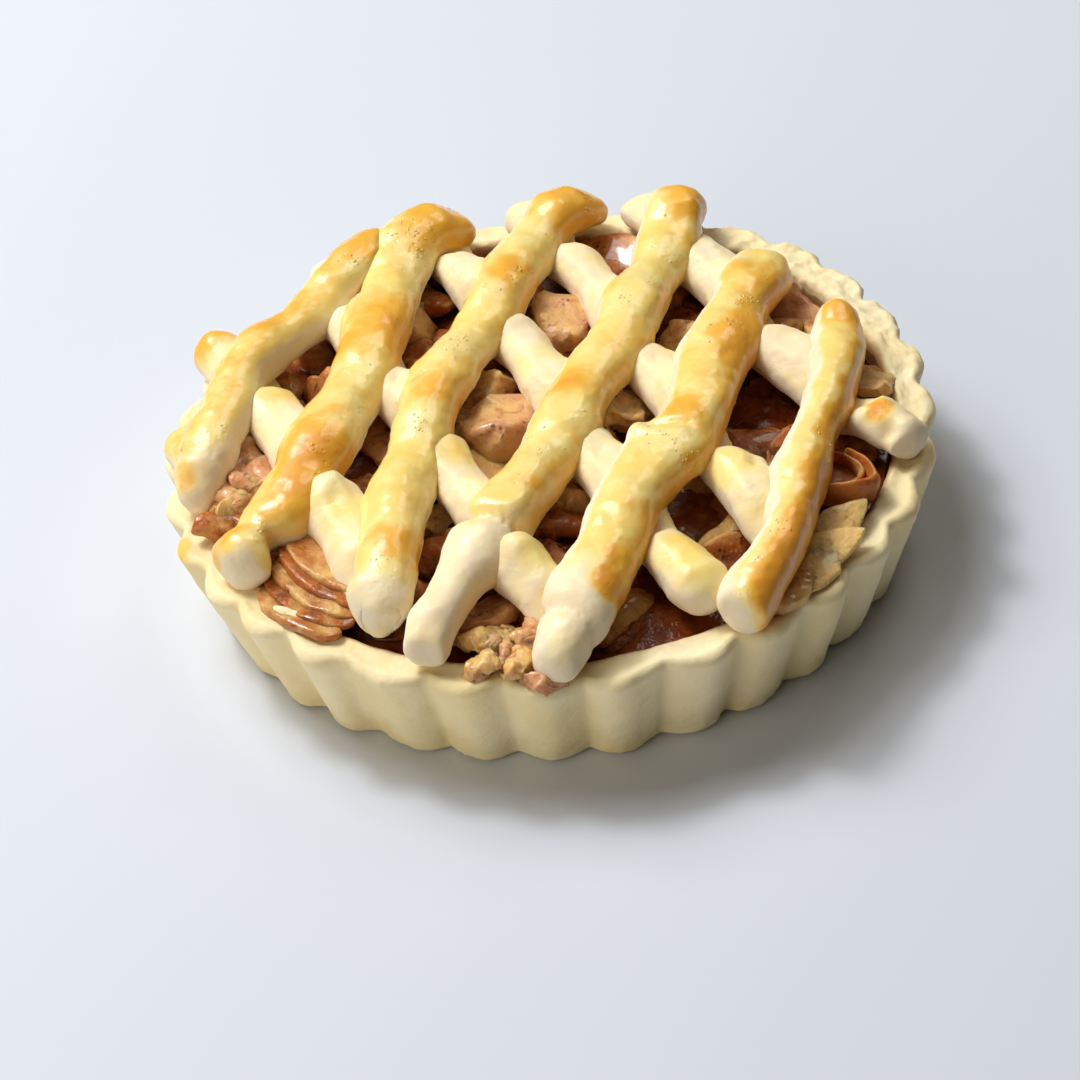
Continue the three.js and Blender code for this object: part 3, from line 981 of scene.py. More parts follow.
@dataclass
class PastryShell:
    """The fluted shell: one section turned round the pie's middle and pressed into flutes.

    A flute share says how much of the flutes' depth reaches that part of the section. The wander and the
    swings are read on a ring of radius 1, so their sizes are shares of a radius.
    """

    node: str = "crust_shell"
    rim_radius: float = 54.7
    base_radius: float = 49.5
    height: float = 17.5
    rim_width: float = 6.1
    rim_round: float = 1.5
    rim_dip: float = 0.22
    foot_round: float = 1.5
    floor: float = 3.5
    wall_taper: float = 1.6
    wall_bulge: float = 0.3
    inner_round: float = 1.3
    flare_power: float = 3.0
    wave_power: float = 1.7
    foot_flute: float = 0.85
    lip_flute: float = 0.7
    edge_flute: float = 0.1
    flutes: float = 32.0
    flute_depth: float = 2.3
    flute_softness: float = 0.13
    flute_wander: Relief = Relief(0.25, 0.05)
    flute_swing: Relief = Relief(0.09, 0.5)
    first_crest: float = math.radians(-139.9)
    rim_waves: tuple[Place, ...] = ((0.21, 3.0, 0.8), (0.14, 8.0, 2.1))
    rim_swing: Relief = Relief(0.07, 0.3)
    spill_angle: float = math.radians(-92)
    spill_depth: float = 0.9
    spill_spread: float = 0.16
    rise_angle: float = math.radians(38)
    rise_height: float = 2.2
    rise_spread: float = 0.73
    rise_swing: Relief = Relief(0.05, 0.7)
    lumps: Relief = Relief(13.0, 0.4)
    dimples: Relief = Relief(3.4, 0.18)
    grains: Relief = Relief(1.1, 0.05)
    ragged_foot: Relief = Relief(1.7, 0.4, 3.0)
    foot_band: Band = (3.2 * MM, 0.6 * MM)
    crumbly_rim: Relief = Relief(2.2, 0.75, 3.0)
    rim_band: Band = (17.4 * MM, 18.9 * MM)
    flat_band: Band = (0.1 * MM, 1.0 * MM)
    weld: float = 0.01
    columns: int = 640
    wall_rows: int = 36
    lip_rows: int = 10
    rim_rows: int = 14
    edge_rows: int = 6
    under_steps: tuple[float, ...] = (0.0, 0.5, 0.9)
    inside_steps: tuple[float, ...] = (0.35, 0.7, 1.0)
    floor_steps: tuple[float, ...] = (0.5, 0.0)

    @property
    def inner_radius(self) -> float:
        """The rim's inner edge, in millimetres from the middle."""
        return self.rim_radius - self.rim_width

    @staticmethod
    def _shares(rows: int) -> list[float]:
        """Even steps that end at 1, without 0."""
        return [step / rows for step in range(1, rows + 1)]

    @staticmethod
    def _arc(share: float) -> Band:
        """How far a quarter round has gone along its first and its second leg."""
        angle = share * math.pi / 2
        return math.sin(angle), 1 - math.cos(angle)

    def section(self) -> list[ProfilePoint]:
        """Draws the section from the middle of the underside, up the wall, over the rim and down the inside.

        Returns:
            The section's points, in millimetres.
        """
        lip = self.height - self.rim_round
        slope = (self.rim_radius - self.base_radius) / self.height
        foot = self.base_radius - self.foot_round
        knee = self.base_radius + slope * self.foot_round
        points = [ProfilePoint(foot * share, 0.0, 0.0, 0.0) for share in self.under_steps]
        for share in (0.0, *self._shares(self.edge_rows)):
            first, second = self._arc(share)
            flute = self.foot_flute + (1 - self.foot_flute) * share
            points.append(ProfilePoint(foot + (knee - foot) * first, self.foot_round * second, flute, 0.0))
        flare = self.rim_radius - (self.base_radius + slope * lip)
        for share in self._shares(self.wall_rows):
            rise = self.foot_round + (lip - self.foot_round) * share
            out = self.base_radius + slope * rise + flare * share**self.flare_power
            out += self.wall_bulge * math.sin(math.pi * share)
            points.append(ProfilePoint(out, rise, 1.0, share**self.wave_power))
        for share in self._shares(self.lip_rows):
            first, second = self._arc(share)
            out, rise = self.rim_radius - self.rim_round * second, lip + self.rim_round * first
            points.append(ProfilePoint(out, rise, 1 - (1 - self.lip_flute) * share, 1.0))
        outer = self.rim_radius - self.rim_round
        inner = self.inner_radius + self.inner_round
        for share in self._shares(self.rim_rows):
            rise = self.height - self.rim_dip * math.sin(math.pi * share)
            flute = self.lip_flute - (self.lip_flute - self.edge_flute) * share
            points.append(ProfilePoint(outer + (inner - outer) * share, rise, flute, 1.0))
        for share in self._shares(self.edge_rows):
            first, second = self._arc(share)
            out, rise = inner - self.inner_round * first, self.height - self.inner_round * second
            points.append(ProfilePoint(out, rise, 0.0, 1.0))
        bottom = self.inner_radius - self.wall_taper
        top = self.height - self.inner_round
        for share in self.inside_steps:
            out = self.inner_radius + (bottom - self.inner_radius) * share
            points.append(ProfilePoint(out, top + (self.floor - top) * share, 0.0, 1.0 - share))
        points += [ProfilePoint(bottom * share, self.floor, 0.0, 0.0) for share in self.floor_steps]
        return points

    def _section_mesh(self) -> bpy.types.Mesh:
        """Makes the section a chain of edges that carries the flute and rim weights.

        Returns:
            The chain's mesh, in metres.
        """
        points = self.section()
        mesh = bpy.data.meshes.new(self.node)
        places = [(point.radius * MM, 0.0, point.rise * MM) for point in points]
        mesh.from_pydata(places, [(step, step + 1) for step in range(len(points) - 1)], [])
        for label in ("flute", "top"):
            layer = mesh.attributes.new(label, "FLOAT", "POINT")
            layer.data.foreach_set("value", [getattr(point, label) for point in points])
        return mesh

    def recipe(self) -> GeometryRecipe:
        """Builds the tree that turns the section round and gives it flutes, a wavy rim and soft lumps.

        Returns:
            The tree, ready to run on the section.
        """
        recipe = GeometryRecipe(
            "fluted shell",
            {
                "Columns": self.columns,
                "Flutes": self.flutes,
                "Flute depth": self.flute_depth * MM,
                "Softness": self.flute_softness,
                "First crest": self.first_crest,
                "Spill angle": self.spill_angle,
                "Spill depth": self.spill_depth * MM,
                "Spill spread": self.spill_spread,
                "Rise angle": self.rise_angle,
                "Rise height": self.rise_height * MM,
                "Rise spread": self.rise_spread,
                "Lump height": self.lumps.height * MM,
                "Dimple height": self.dimples.height * MM,
                "Grain height": self.grains.height * MM,
                "Ragged foot": self.ragged_foot.height * MM,
                "Crumbly rim": self.crumbly_rim.height * MM,
            },
        )
        nodes, given = recipe.nodes, recipe.given
        section, columns = given["Geometry"], given["Columns"]
        rows = nodes.node("GeometryNodeAttributeDomainSize", {"Geometry": section}).outputs["Point Count"]
        inputs = {"Vertices X": nodes.plus(columns, 1.0), "Vertices Y": rows}
        grid = nodes.node("GeometryNodeMeshGrid", inputs).outputs["Mesh"]
        index = nodes.out("GeometryNodeInputIndex")
        row = nodes.math("MODULO", index, rows)
        column = nodes.math("FLOOR", nodes.math("DIVIDE", index, rows))
        angle = nodes.times(nodes.math("DIVIDE", column, columns), FULL_TURN)
        cosine, sine = nodes.math("COSINE", angle), nodes.math("SINE", angle)
        ring = nodes.combine(cosine, sine, 0.0)

        def on_section(value: Socket, kind: str) -> Socket:
            """Reads a value at the row's point of the section.

            Args:
                value: The section's value.
                kind: Its data type.

            Returns:
                The value there.
            """
            node = nodes.node("GeometryNodeSampleIndex", data_type=kind, domain="POINT")
            for socket, fed in zip(node.inputs, (section, value, row)):
                nodes.feed(socket, fed)
            return node.outputs[0]

        def weight(label: str) -> Socket:
            """Reads one of the section's weights."""
            node = nodes.node("GeometryNodeInputNamedAttribute", {"Name": label}, data_type="FLOAT")
            return on_section(node.outputs["Attribute"], "FLOAT")

        def swing(relief: Relief, unit: float = 1.0) -> Socket:
            """Makes something swing along the ring."""
            return nodes.ripple(ring, relief.size, relief.height * unit)

        def bell(label: str) -> Socket:
            """Makes a weight that is 1 at a stretch of the rim and falls off to both sides of it.

            Args:
                label: Name of the stretch, as the inputs have it.

            Returns:
                The weight.
            """
            away = nodes.math("WRAP", nodes.minus(angle, given[f"{label} angle"]), math.pi, -math.pi)
            share = nodes.math("DIVIDE", away, given[f"{label} spread"])
            return nodes.math("EXPONENT", nodes.times(nodes.times(share, share), -1.0))

        place = on_section(nodes.out("GeometryNodeInputPosition"), "FLOAT_VECTOR")
        radius, _, rise = nodes.separate(place)
        wandering = nodes.plus(angle, swing(self.flute_wander))
        turned = nodes.times(nodes.minus(wandering, given["First crest"]), given["Flutes"])
        wave = nodes.math("COSINE", nodes.times(turned, 0.5))
        softness = nodes.times(given["Softness"], given["Softness"])
        soft = nodes.math("SQRT", nodes.times_plus(wave, wave, softness))
        full = nodes.math("SQRT", nodes.plus(softness, 1.0))
        hollow = nodes.minus(1.0, nodes.math("DIVIDE", soft, full))
        depth = nodes.times(given["Flute depth"], nodes.plus(1.0, swing(self.flute_swing)))
        reach = nodes.minus(radius, nodes.times(nodes.times(depth, hollow), weight("flute")))

        rim = swing(self.rim_swing, MM)
        for height, turns, phase in self.rim_waves:
            wavy = nodes.math("SINE", nodes.times_plus(angle, turns, phase))
            rim = nodes.times_plus(wavy, height * MM, rim)
        raised = bell("Rise")
        rim = nodes.minus(rim, nodes.times(bell("Spill"), given["Spill depth"]))
        rim = nodes.times_plus(raised, given["Rise height"], rim)
        rim = nodes.times_plus(raised, swing(self.rise_swing, MM), rim)
        lifted = nodes.times_plus(rim, weight("top"), rise)
        spot = nodes.combine(nodes.times(reach, cosine), nodes.times(reach, sine), lifted)
        inputs = {"Geometry": grid, "Position": spot}
        turned_mesh = nodes.out("GeometryNodeSetPosition", inputs)
        inputs = {"Geometry": turned_mesh, "Distance": self.weld * MM}
        closed = nodes.out("GeometryNodeMergeByDistance", inputs)

        high = nodes.separate(nodes.out("GeometryNodeInputPosition"))[2]
        relief = recipe.rough(self.lumps, "Lump height")
        relief = nodes.plus(relief, recipe.rough(self.dimples, "Dimple height"))
        relief = nodes.plus(relief, recipe.rough(self.grains, "Grain height"))
        ragged = recipe.rough(self.ragged_foot, "Ragged foot")
        relief = nodes.plus(relief, nodes.times(ragged, nodes.smooth(high, *self.foot_band)))
        crumbly = recipe.rough(self.crumbly_rim, "Crumbly rim")
        relief = nodes.plus(relief, nodes.times(crumbly, nodes.smooth(high, *self.rim_band)))
        relief = nodes.times(relief, nodes.smooth(high, *self.flat_band))
        normal = nodes.out("GeometryNodeInputNormal")
        inputs = {"Geometry": closed, "Offset": nodes.scaled(normal, relief)}
        recipe.end(nodes.out("GeometryNodeSetPosition", inputs))
        return recipe

    def build(self, material: Material) -> Piece:
        """Makes the shell's piece.

        Args:
            material: Its finish.

        Returns:
            The finished piece.
        """
        shell = add_piece("pastry_shell", self._section_mesh())
        self.recipe().run(shell, material)
        declare(shell, Slot.CRUST, self.node)
        return shell


@dataclass(frozen=True)
class Mark:
    """A thumb mark or bulge: its place from above, its reach, and how far it moves the dough out and up."""

    x: float
    y: float
    reach: float
    push: float
    lift: float = 0.0


@dataclass(frozen=True)
class Scorch:
    """A patch where egg wash pooled and browned: its place from above, its reach and depth, and its browning.

    A negative depth makes a bare patch instead.
    """

    x: float
    y: float
    reach: float
    depth: float
    browning: float = 1.0


@dataclass(frozen=True)
class StripLook:
    """How one strip was shaped, brushed and baked.

    Gild is the share of egg wash and toast the browning all over. The wash thins out in front of the place
    bare_front, and lean turns the wash and extra browning towards the strip's right flank, which faces away
    from the light: partly pooled wash, partly painted shade, with the lit flank left paler.
    """

    node: str
    gild: float
    toast: float = 0.1
    bare_front: float = -70.0
    lean: float = 0.1
    marks: tuple[Mark, ...] = ()
    scorches: tuple[Scorch, ...] = ()

    @property
    def glazed(self) -> bool:
        """Whether the strip lies in the upper, well brushed layer."""
        return self.node.startswith("upper")


def row_of_marks(start: Band, end: Band, reach: float, push: float, spacing: float = 1.4) -> tuple[Mark, ...]:
    """Lays marks close together along a line, as a crease or a crack.

    Args:
        start: Where the line starts, in millimetres.
        end: Where it ends.
        reach: How wide each mark is.
        push: How far each moves the dough out.
        spacing: How far apart they lie, as a share of their reach.

    Returns:
        The marks.
    """
    count = max(2, round(math.dist(start, end) / (spacing * reach)))
    marks = []
    for step in range(count + 1):
        x, y = (first + (last - first) * step / count for first, last in zip(start, end))
        marks.append(Mark(x, y, reach, push))
    return tuple(marks)


# A mark gives x, y, reach, push and lift, and a scorch x, y, reach, depth and browning.
LOWER_LOOKS = (
    StripLook("lower_strip_0", gild=1.0, toast=0.4),
    StripLook(
        "lower_strip_1",
        gild=0.36,
        toast=0.15,
        marks=(
            Mark(-47.6, 27.0, 4.5, 0.7, 1.5),
            Mark(-29.6, -15.0, 3.8, 0.2, 2.2),
            Mark(-29.6, -24.0, 5.0, 0.5, 0.5),
            Mark(-27.8, -32.0, 4.5, 0.7, 0.6),
        ),
        scorches=(
            Scorch(-48.6, 27.0, 5.0, 0.7),
            Scorch(-37.4, 8.4, 3.4, 0.4, 0.4),
            Scorch(-29.0, -21.0, 3.4, 0.36, 0.4),
        ),
    ),
    StripLook(
        "lower_strip_2",
        gild=0.32,
        marks=(Mark(-5.4, -33.6, 3.8, 0.2, 2.0), Mark(-3.0, -39.6, 4.0, 0.1, 0.6)),
        scorches=(Scorch(-11.6, -11.4, 3.2, 0.5, 0.4), Scorch(-3.4, -35.0, 3.0, 0.42, 0.4)),
    ),
    StripLook(
        "lower_strip_3",
        gild=0.38,
        marks=(Mark(13.4, -27.2, 3.8, 0.3, 2.2), Mark(19.0, -40.0, 3.0, 0.3)),
        scorches=(Scorch(16.0, -35.6, 3.0, 0.55, 0.4), Scorch(17.8, -40.0, 3.0, 0.55, 0.4)),
    ),
    StripLook(
        "lower_strip_4",
        gild=0.38,
        marks=(Mark(29.2, -18.4, 1.3, 1.8, 1.2), Mark(27.2, -21.0, 1.3, -0.9)),
        scorches=(Scorch(24.0, -20.8, 3.2, 0.45, 0.4), Scorch(12.6, 10.0, 3.0, 0.35, 0.4)),
    ),
    StripLook(
        "lower_strip_5",
        gild=0.32,
        marks=(
            Mark(46.5, -12.5, 2.0, 0.8),
            Mark(44.0, -9.5, 1.6, -0.7),
            Mark(48.6, -15.5, 1.8, 0.6),
            Mark(46.0, -16.0, 1.4, -0.8),
            Mark(43.0, -6.0, 2.0, 0.5),
        ),
        scorches=(Scorch(45.2, -12.0, 1.8, 1.0),),
    ),
)
UPPER_LOOKS = (
    StripLook(
        "upper_strip_1",
        gild=0.95,
        toast=0.38,
        bare_front=-4.0,
        lean=-0.5,
        marks=row_of_marks((-52.4, -3.4), (-45.0, -6.6), 1.1, -0.5),
        scorches=(
            Scorch(-24.1, 40.7, 5.5, 0.45),
            Scorch(-39.6, 22.2, 4.5, 0.35),
            Scorch(-50.4, -8.0, 3.0, 0.2),
        ),
    ),
    StripLook(
        "upper_strip_2",
        gild=1.0,
        toast=0.26,
        marks=(
            Mark(-37.0, -25.0, 2.4, -2.0),
            *row_of_marks((-38.6, -23.4), (-42.4, -20.8), 1.5, -0.55),
            Mark(-45.4, -20.4, 2.0, -0.8),
            Mark(-43.6, -26.6, 3.4, 1.0),
            Mark(-36.2, -20.6, 2.8, 0.7),
            Mark(-33.4, -15.4, 4.0, 0.5),
            Mark(-31.0, -7.0, 5.0, 0.4),
        ),
        scorches=(
            Scorch(-31.9, -9.7, 5.0, 0.62),
            Scorch(-34.8, -17.5, 4.0, 0.6),
            Scorch(-44.6, -24.2, 2.2, 0.7),
            Scorch(-43.0, -28.4, 3.2, -0.9),
            Scorch(-20.6, 18.3, 5.0, 0.4),
            Scorch(-27.2, 13.5, 3.0, 0.3),
            Scorch(-10.6, 45.0, 6.0, 0.4),
        ),
    ),
    StripLook(
        "upper_strip_3",
        gild=0.95,
        toast=0.22,
        bare_front=-37.0,
        lean=0.25,
        marks=(
            Mark(-25.0, -45.6, 2.6, -0.4, -1.4),
            Mark(-29.4, -42.4, 3.4, -2.0),
            Mark(-20.8, -43.6, 3.4, -2.0),
            Mark(-28.4, -37.0, 2.6, 0.8),
            Mark(-21.4, -30.0, 4.5, 0.5),
            Mark(-18.6, -10.0, 4.0, -0.4),
        ),
        scorches=(
            Scorch(-14.2, 0.0, 4.5, 0.4),
            Scorch(-21.8, -31.3, 3.6, 0.45),
            Scorch(-2.6, 26.9, 4.5, 0.4),
            Scorch(8.4, 46.0, 6.0, 0.5),
        ),
    ),
    StripLook(
        "upper_strip_4",
        gild=0.95,
        toast=0.18,
        bare_front=-29.5,
        lean=0.6,
        marks=(
            *row_of_marks((-13.6, -27.2), (-2.0, -32.2), 1.3, -1.0),
            Mark(-10.6, -24.6, 2.6, 0.4, 0.4),
            Mark(-5.2, -27.2, 2.8, 0.6, 0.5),
            Mark(-14.4, -36.0, 5.0, 0.0, -0.7),
            Mark(-19.4, -49.4, 3.4, -0.5, -0.6),
            Mark(-3.0, -21.5, 5.0, 0.6),
        ),
        scorches=(
            Scorch(2.4, -2.2, 4.0, 0.45),
            Scorch(25.4, 42.0, 5.0, 0.45),
            Scorch(-5.0, -21.0, 4.0, 0.2),
        ),
    ),
    StripLook(
        "upper_strip_5",
        gild=0.96,
        toast=0.1,
        bare_front=-40.0,
        lean=1.2,
        marks=(
            Mark(12.4, -13.7, 1.7, 1.4),
            *row_of_marks((13.4, -13.6), (19.0, -14.6), 0.9, -0.55),
            *row_of_marks((-4.0, -44.5), (5.0, -51.6), 1.1, -0.55),
            Mark(-1.0, -52.4, 3.0, 0.2, 0.3),
            Mark(3.6, -54.0, 3.0, -1.6),
            Mark(-6.6, -50.6, 2.6, 0.7),
            Mark(24.0, 3.0, 5.0, 0.5),
            Mark(29.6, 15.0, 4.0, -0.4),
        ),
        scorches=(
            Scorch(32.8, 21.8, 5.0, 0.42),
            Scorch(26.8, 4.6, 4.5, 0.6),
            Scorch(18.4, -9.6, 4.0, 0.45),
            Scorch(5.2, -43.4, 2.0, 0.8),
            Scorch(7.0, -38.8, 2.4, 0.4),
            Scorch(30.0, 11.7, 4.0, 0.25),
        ),
    ),
    StripLook(
        "upper_strip_6",
        gild=0.85,
        toast=0.1,
        lean=1.6,
        marks=(Mark(33.0, -25.0, 4.0, 0.3), Mark(41.0, 14.4, 2.6, -1.2), Mark(46.4, 13.4, 2.6, -1.2)),
        scorches=(
            Scorch(25.4, -46.0, 2.4, 0.85),
            Scorch(28.2, -41.4, 2.6, 0.65),
            Scorch(31.0, -36.4, 2.6, 0.6),
            Scorch(33.4, -31.4, 2.6, 0.55),
            Scorch(35.2, -26.0, 2.6, 0.4),
            Scorch(37.6, -16.4, 3.0, 0.3),
            Scorch(42.6, 9.4, 3.0, 0.6),
        ),
    ),
)


@dataclass
class Lattice:
    """The two crossing layers of hand-rolled strips.

    Brush and bubble bands give where a mask is empty and where it is full.
    """

    voxel: float = 0.45
    weld: float = 0.001
    smooth_factor: float = 0.5
    smoothing: int = 16
    end_run: float = 4.5
    end_smoothing: int = 60
    melt: float = 4.6
    melt_swell: float = 0.25
    plump: float = 0.1
    lumps: Relief = Relief(8.0, 0.6, 1.0)
    dimples: Relief = Relief(2.6, 0.2)
    grains: Relief = Relief(0.9, 0.05)
    headroom: float = 0.7
    flatten: float = 0.85
    drip: float = 0.55
    brush_band: Band = (-0.3, 0.65)
    bare_wash: float = 0.3
    # The flank share and the across direction brown the side that faces away from the light, as painted
    # shade.
    shade_flank: float = 0.4
    across: Band = (0.9, -0.44)
    fade: float = 6.0
    bubbles: float = 1.2
    bubble_radius: float = 0.19
    bubble_cluster: float = 6.0
    bubble_cluster_band: Band = (0.56, 0.72)
    bubble_wash_band: Band = (0.5, 0.8)
    bubble_sizes: Band = (0.5, 1.3)
    bubble_rise: float = 0.4
    bubble_seed: int = 5
    strips: list[Piece] = field(default_factory=list)

    def recipe(self) -> GeometryRecipe:
        """Builds the tree that makes a smooth strip look rolled by hand and marks where the brush went.

        Returns:
            The tree, ready to run on a smooth strip.
        """
        recipe = GeometryRecipe(
            "rolled dough",
            {
                "Plump": self.plump * MM,
                "Lump height": self.lumps.height * MM,
                "Dimple height": self.dimples.height * MM,
                "Grain height": self.grains.height * MM,
                "Gild": 1.0,
                # The lean tilts the wash towards the flank away from the light: partly painted shade.
                "Lean": 0.1,
                "Bare front": -70.0 * MM,
                "Bare wash": self.bare_wash,
                "Ceiling": 28.0 * MM,
                "Bubble size": self.bubble_radius * MM,
                "Bubbles per square metre": 0.0,
                "Seed": self.bubble_seed,
            },
        )
        nodes, given = recipe.nodes, recipe.given
        position = nodes.out("GeometryNodeInputPosition")
        normal = nodes.out("GeometryNodeInputNormal")
        relief = nodes.plus(given["Plump"], recipe.rough(self.lumps, "Lump height"))
        relief = nodes.plus(relief, recipe.rough(self.dimples, "Dimple height"))
        relief = nodes.plus(relief, recipe.rough(self.grains, "Grain height"))
        inputs = {"Geometry": given["Geometry"], "Offset": nodes.scaled(normal, relief)}
        rolled = nodes.out("GeometryNodeSetPosition", inputs)
        above = nodes.math("MAXIMUM", nodes.minus(nodes.separate(position)[2], given["Ceiling"]), 0.0)
        lowered = nodes.combine(0.0, 0.0, nodes.times(above, -self.flatten))
        rolled = nodes.out("GeometryNodeSetPosition", {"Geometry": rolled, "Offset": lowered})
        wash = self._brushed(recipe, position, normal)
        store = nodes.node("GeometryNodeStoreNamedAttribute", data_type="FLOAT", domain="POINT")
        for label, value in (("Geometry", rolled), ("Name", Trait.WASH.value), ("Value", wash)):
            nodes.feed(store.inputs[label], value)
        washed = store.outputs[0]
        both = nodes.node("GeometryNodeJoinGeometry")
        for part in (washed, self._bubbles(recipe, washed, wash)):
            nodes.feed(both.inputs[0], part)
        recipe.end(both.outputs[0])
        return recipe

    def _brushed(self, recipe: GeometryRecipe, position: Socket, normal: Socket) -> Socket:
        """Finds how much egg wash each place got.

        Args:
            recipe: The tree of the strip.
            position: Each point's place.
            normal: Each point's normal.

        Returns:
            The share of egg wash, from 0 to 1.
        """
        nodes, given = recipe.nodes, recipe.given
        # The wash leans towards the flank that faces away from the light, so its gold there is partly painted
        # shade and the lit flank stays paler.
        right, away, upward = nodes.separate(normal)
        shade_side = nodes.times_plus(right, self.across[0], nodes.times(away, self.across[1]))
        facing = nodes.times_plus(shade_side, given["Lean"], upward)
        brushed = nodes.smooth(facing, *self.brush_band)
        along = nodes.separate(position)[1]
        start = nodes.minus(given["Bare front"], self.fade * MM)
        reached = nodes.smooth(along, start, nodes.plus(given["Bare front"], self.fade * MM))
        reached = nodes.math("MAXIMUM", reached, given["Bare wash"])
        wash = nodes.times(nodes.times(brushed, reached), given["Gild"])
        near = nodes.node("GeometryNodeInputNamedAttribute", {"Name": Trait.NEAR.value}, data_type="FLOAT")
        dripped = nodes.times(near.outputs["Attribute"], self.drip)
        return nodes.math("MAXIMUM", wash, nodes.times(dripped, brushed))

    def _bubbles(self, recipe: GeometryRecipe, strip: Socket, wash: Socket) -> Socket:
        """Strews small flat bubbles over the egg wash.

        Args:
            recipe: The tree of the strip.
            strip: The strip's mesh.
            wash: Its share of egg wash.

        Returns:
            The bubbles, as instances.
        """
        nodes, given = recipe.nodes, recipe.given
        position = nodes.out("GeometryNodeInputPosition")
        crowded = nodes.smooth(nodes.noise(position, self.bubble_cluster * MM), *self.bubble_cluster_band)
        density = nodes.times(crowded, nodes.smooth(wash, *self.bubble_wash_band))
        density = nodes.times(density, given["Bubbles per square metre"])
        inputs = {"Mesh": strip, "Density": density, "Seed": given["Seed"]}
        spots = nodes.node("GeometryNodeDistributePointsOnFaces", inputs).outputs
        inputs = {"Radius": given["Bubble size"], "Subdivisions": 2}
        ball = nodes.out("GeometryNodeMeshIcoSphere", inputs)
        sizes = nodes.node("FunctionNodeRandomValue", data_type="FLOAT")
        for socket, value in zip(sizes.inputs[2:4], self.bubble_sizes):
            socket.default_value = value
        size = sizes.outputs[1]
        flat = nodes.combine(size, size, nodes.times(size, self.bubble_rise))
        inputs = {"Points": spots["Points"], "Instance": ball, "Rotation": spots["Rotation"], "Scale": flat}
        return nodes.out("GeometryNodeInstanceOnPoints", inputs)

    def _smoothing(self, strip: Piece, name: str, rounds: int) -> bpy.types.Modifier:
        """Adds a modifier that rounds a strip off.

        Args:
            strip: The strip.
            name: Name of the modifier.
            rounds: How often it smooths.

        Returns:
            The modifier.
        """
        rounding = strip.modifiers.new(name, "SMOOTH")
        rounding.factor = self.smooth_factor
        rounding.iterations = rounds
        return rounding

    def _smooth_copy(self, node: str, solid: Piece) -> Piece:
        """Copies a packed strip and rounds its facets off.

        Args:
            node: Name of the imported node.
            solid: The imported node's object.

        Returns:
            A fine, smooth copy.
        """
        mesh = solid.data.copy()
        mesh.materials.clear()
        work = bmesh.new()
        work.from_mesh(mesh)
        bmesh.ops.remove_doubles(work, verts=work.verts, dist=self.weld * MM)
        work.to_mesh(mesh)
        work.free()
        strip = add_piece(f"dough_{node}", mesh)
        remesh = strip.modifiers.new("even faces", "REMESH")
        remesh.mode = "VOXEL"
        remesh.voxel_size = self.voxel * MM
        self._smoothing(strip, "rounding", self.smoothing)
        settle(strip)
        self._round_ends(strip)
        return strip

    def _round_ends(self, strip: Piece) -> None:
        """Rounds a strip's two ends off further, as fingers do.

        Args:
            strip: The smooth strip.
        """
        places = coordinates(strip.data)
        middle = places.mean(axis=0)
        along = np.linalg.svd(places - middle, full_matrices=False)[2][0]
        run = (places - middle) @ along
        inside = np.minimum(run - run.min(), run.max() - run) / (self.end_run * MM)
        weights = np.clip(1 - inside, 0.0, 1.0)
        ends = strip.vertex_groups.new(name="ends")
        for number in np.flatnonzero(weights):
            ends.add([int(number)], float(weights[number]), "REPLACE")
        self._smoothing(strip, "round ends", self.end_smoothing).vertex_group = ends.name
        settle(strip)
        strip.vertex_groups.clear()

    def _melt(self, strips: Sequence[Piece], shell: Piece) -> None:
        """Lets neighbouring pieces of dough run into each other, as a soft fillet does.

        Args:
            strips: Every smooth strip.
            shell: The shell that the strips' ends bake onto.
        """
        trees = {piece: dough_tree([piece]) for piece in (*strips, shell)}
        reach = self.melt * MM
        for strip in strips:
            others = [tree for piece, tree in trees.items() if piece is not strip]
            places, normals = coordinates(strip.data), coordinates(strip.data, "normal")
            near = np.zeros(len(places))
            for number, place in enumerate(places):
                spot = Vector(place)
                for tree in others:
                    hit, outward, _, away = tree.find_nearest(spot, reach)
                    if hit is None:
                        continue
                    inside = (spot - hit).dot(outward) < 0
                    near[number] = max(near[number], 1.0 if inside else 1 - away / reach)
            places += normals * (near * near * reach * self.melt_swell)[:, None]
            strip.data.vertices.foreach_set("co", places.ravel())
            strip.data.update()
            write_trait(strip.data, Trait.NEAR, near)

    @staticmethod
    def _weight(places: np.ndarray, spot: Mark | Scorch) -> np.ndarray:
        """How much a mark or a scorch counts at each place: 1 in its middle, fading with its reach."""
        away = np.hypot(places[:, 0] - spot.x * MM, places[:, 1] - spot.y * MM)
        return np.exp(-((away / (spot.reach * MM)) ** 2))

    def _press(self, strip: Piece, marks: Iterable[Mark]) -> None:
        """Presses thumb marks and bulges into a strip.

        Args:
            strip: The smooth strip.
            marks: What to press, in millimetres.
        """
        mesh = strip.data
        for mark in marks:
            places, normals = coordinates(mesh), coordinates(mesh, "normal")
            weight = self._weight(places, mark)
            places += normals * (weight * mark.push * MM)[:, None]
            places[:, 2] += weight * mark.lift * MM * np.maximum(normals[:, 2], 0.0)
            mesh.vertices.foreach_set("co", places.ravel())
            mesh.update()

    def _bake(self, strip: Piece, look: StripLook) -> None:
        """Browns a strip by its own share, adds painted shade as browning on the flank that faces away from
        the light, and gives it its scorched and bare patches.

        Args:
            strip: The finished strip.
            look: How it was baked.
        """
        places = coordinates(strip.data)
        # Painted shade: the flank that faces away from the light browns by the strip's lean.
        shade_side = np.maximum(coordinates(strip.data, "normal")[:, :2] @ np.array(self.across), 0.0)
        toast = look.toast + self.shade_flank * look.lean * shade_side
        wash = read_trait(strip.data, Trait.WASH)
        for scorch in look.scorches:
            weight = scorch.depth * self._weight(places, scorch)
            toast += weight * scorch.browning
            wash += weight
        write_trait(strip.data, Trait.BROWNING_AND_SHADE, toast)
        write_trait(strip.data, Trait.WASH, np.minimum(wash, 1.0))

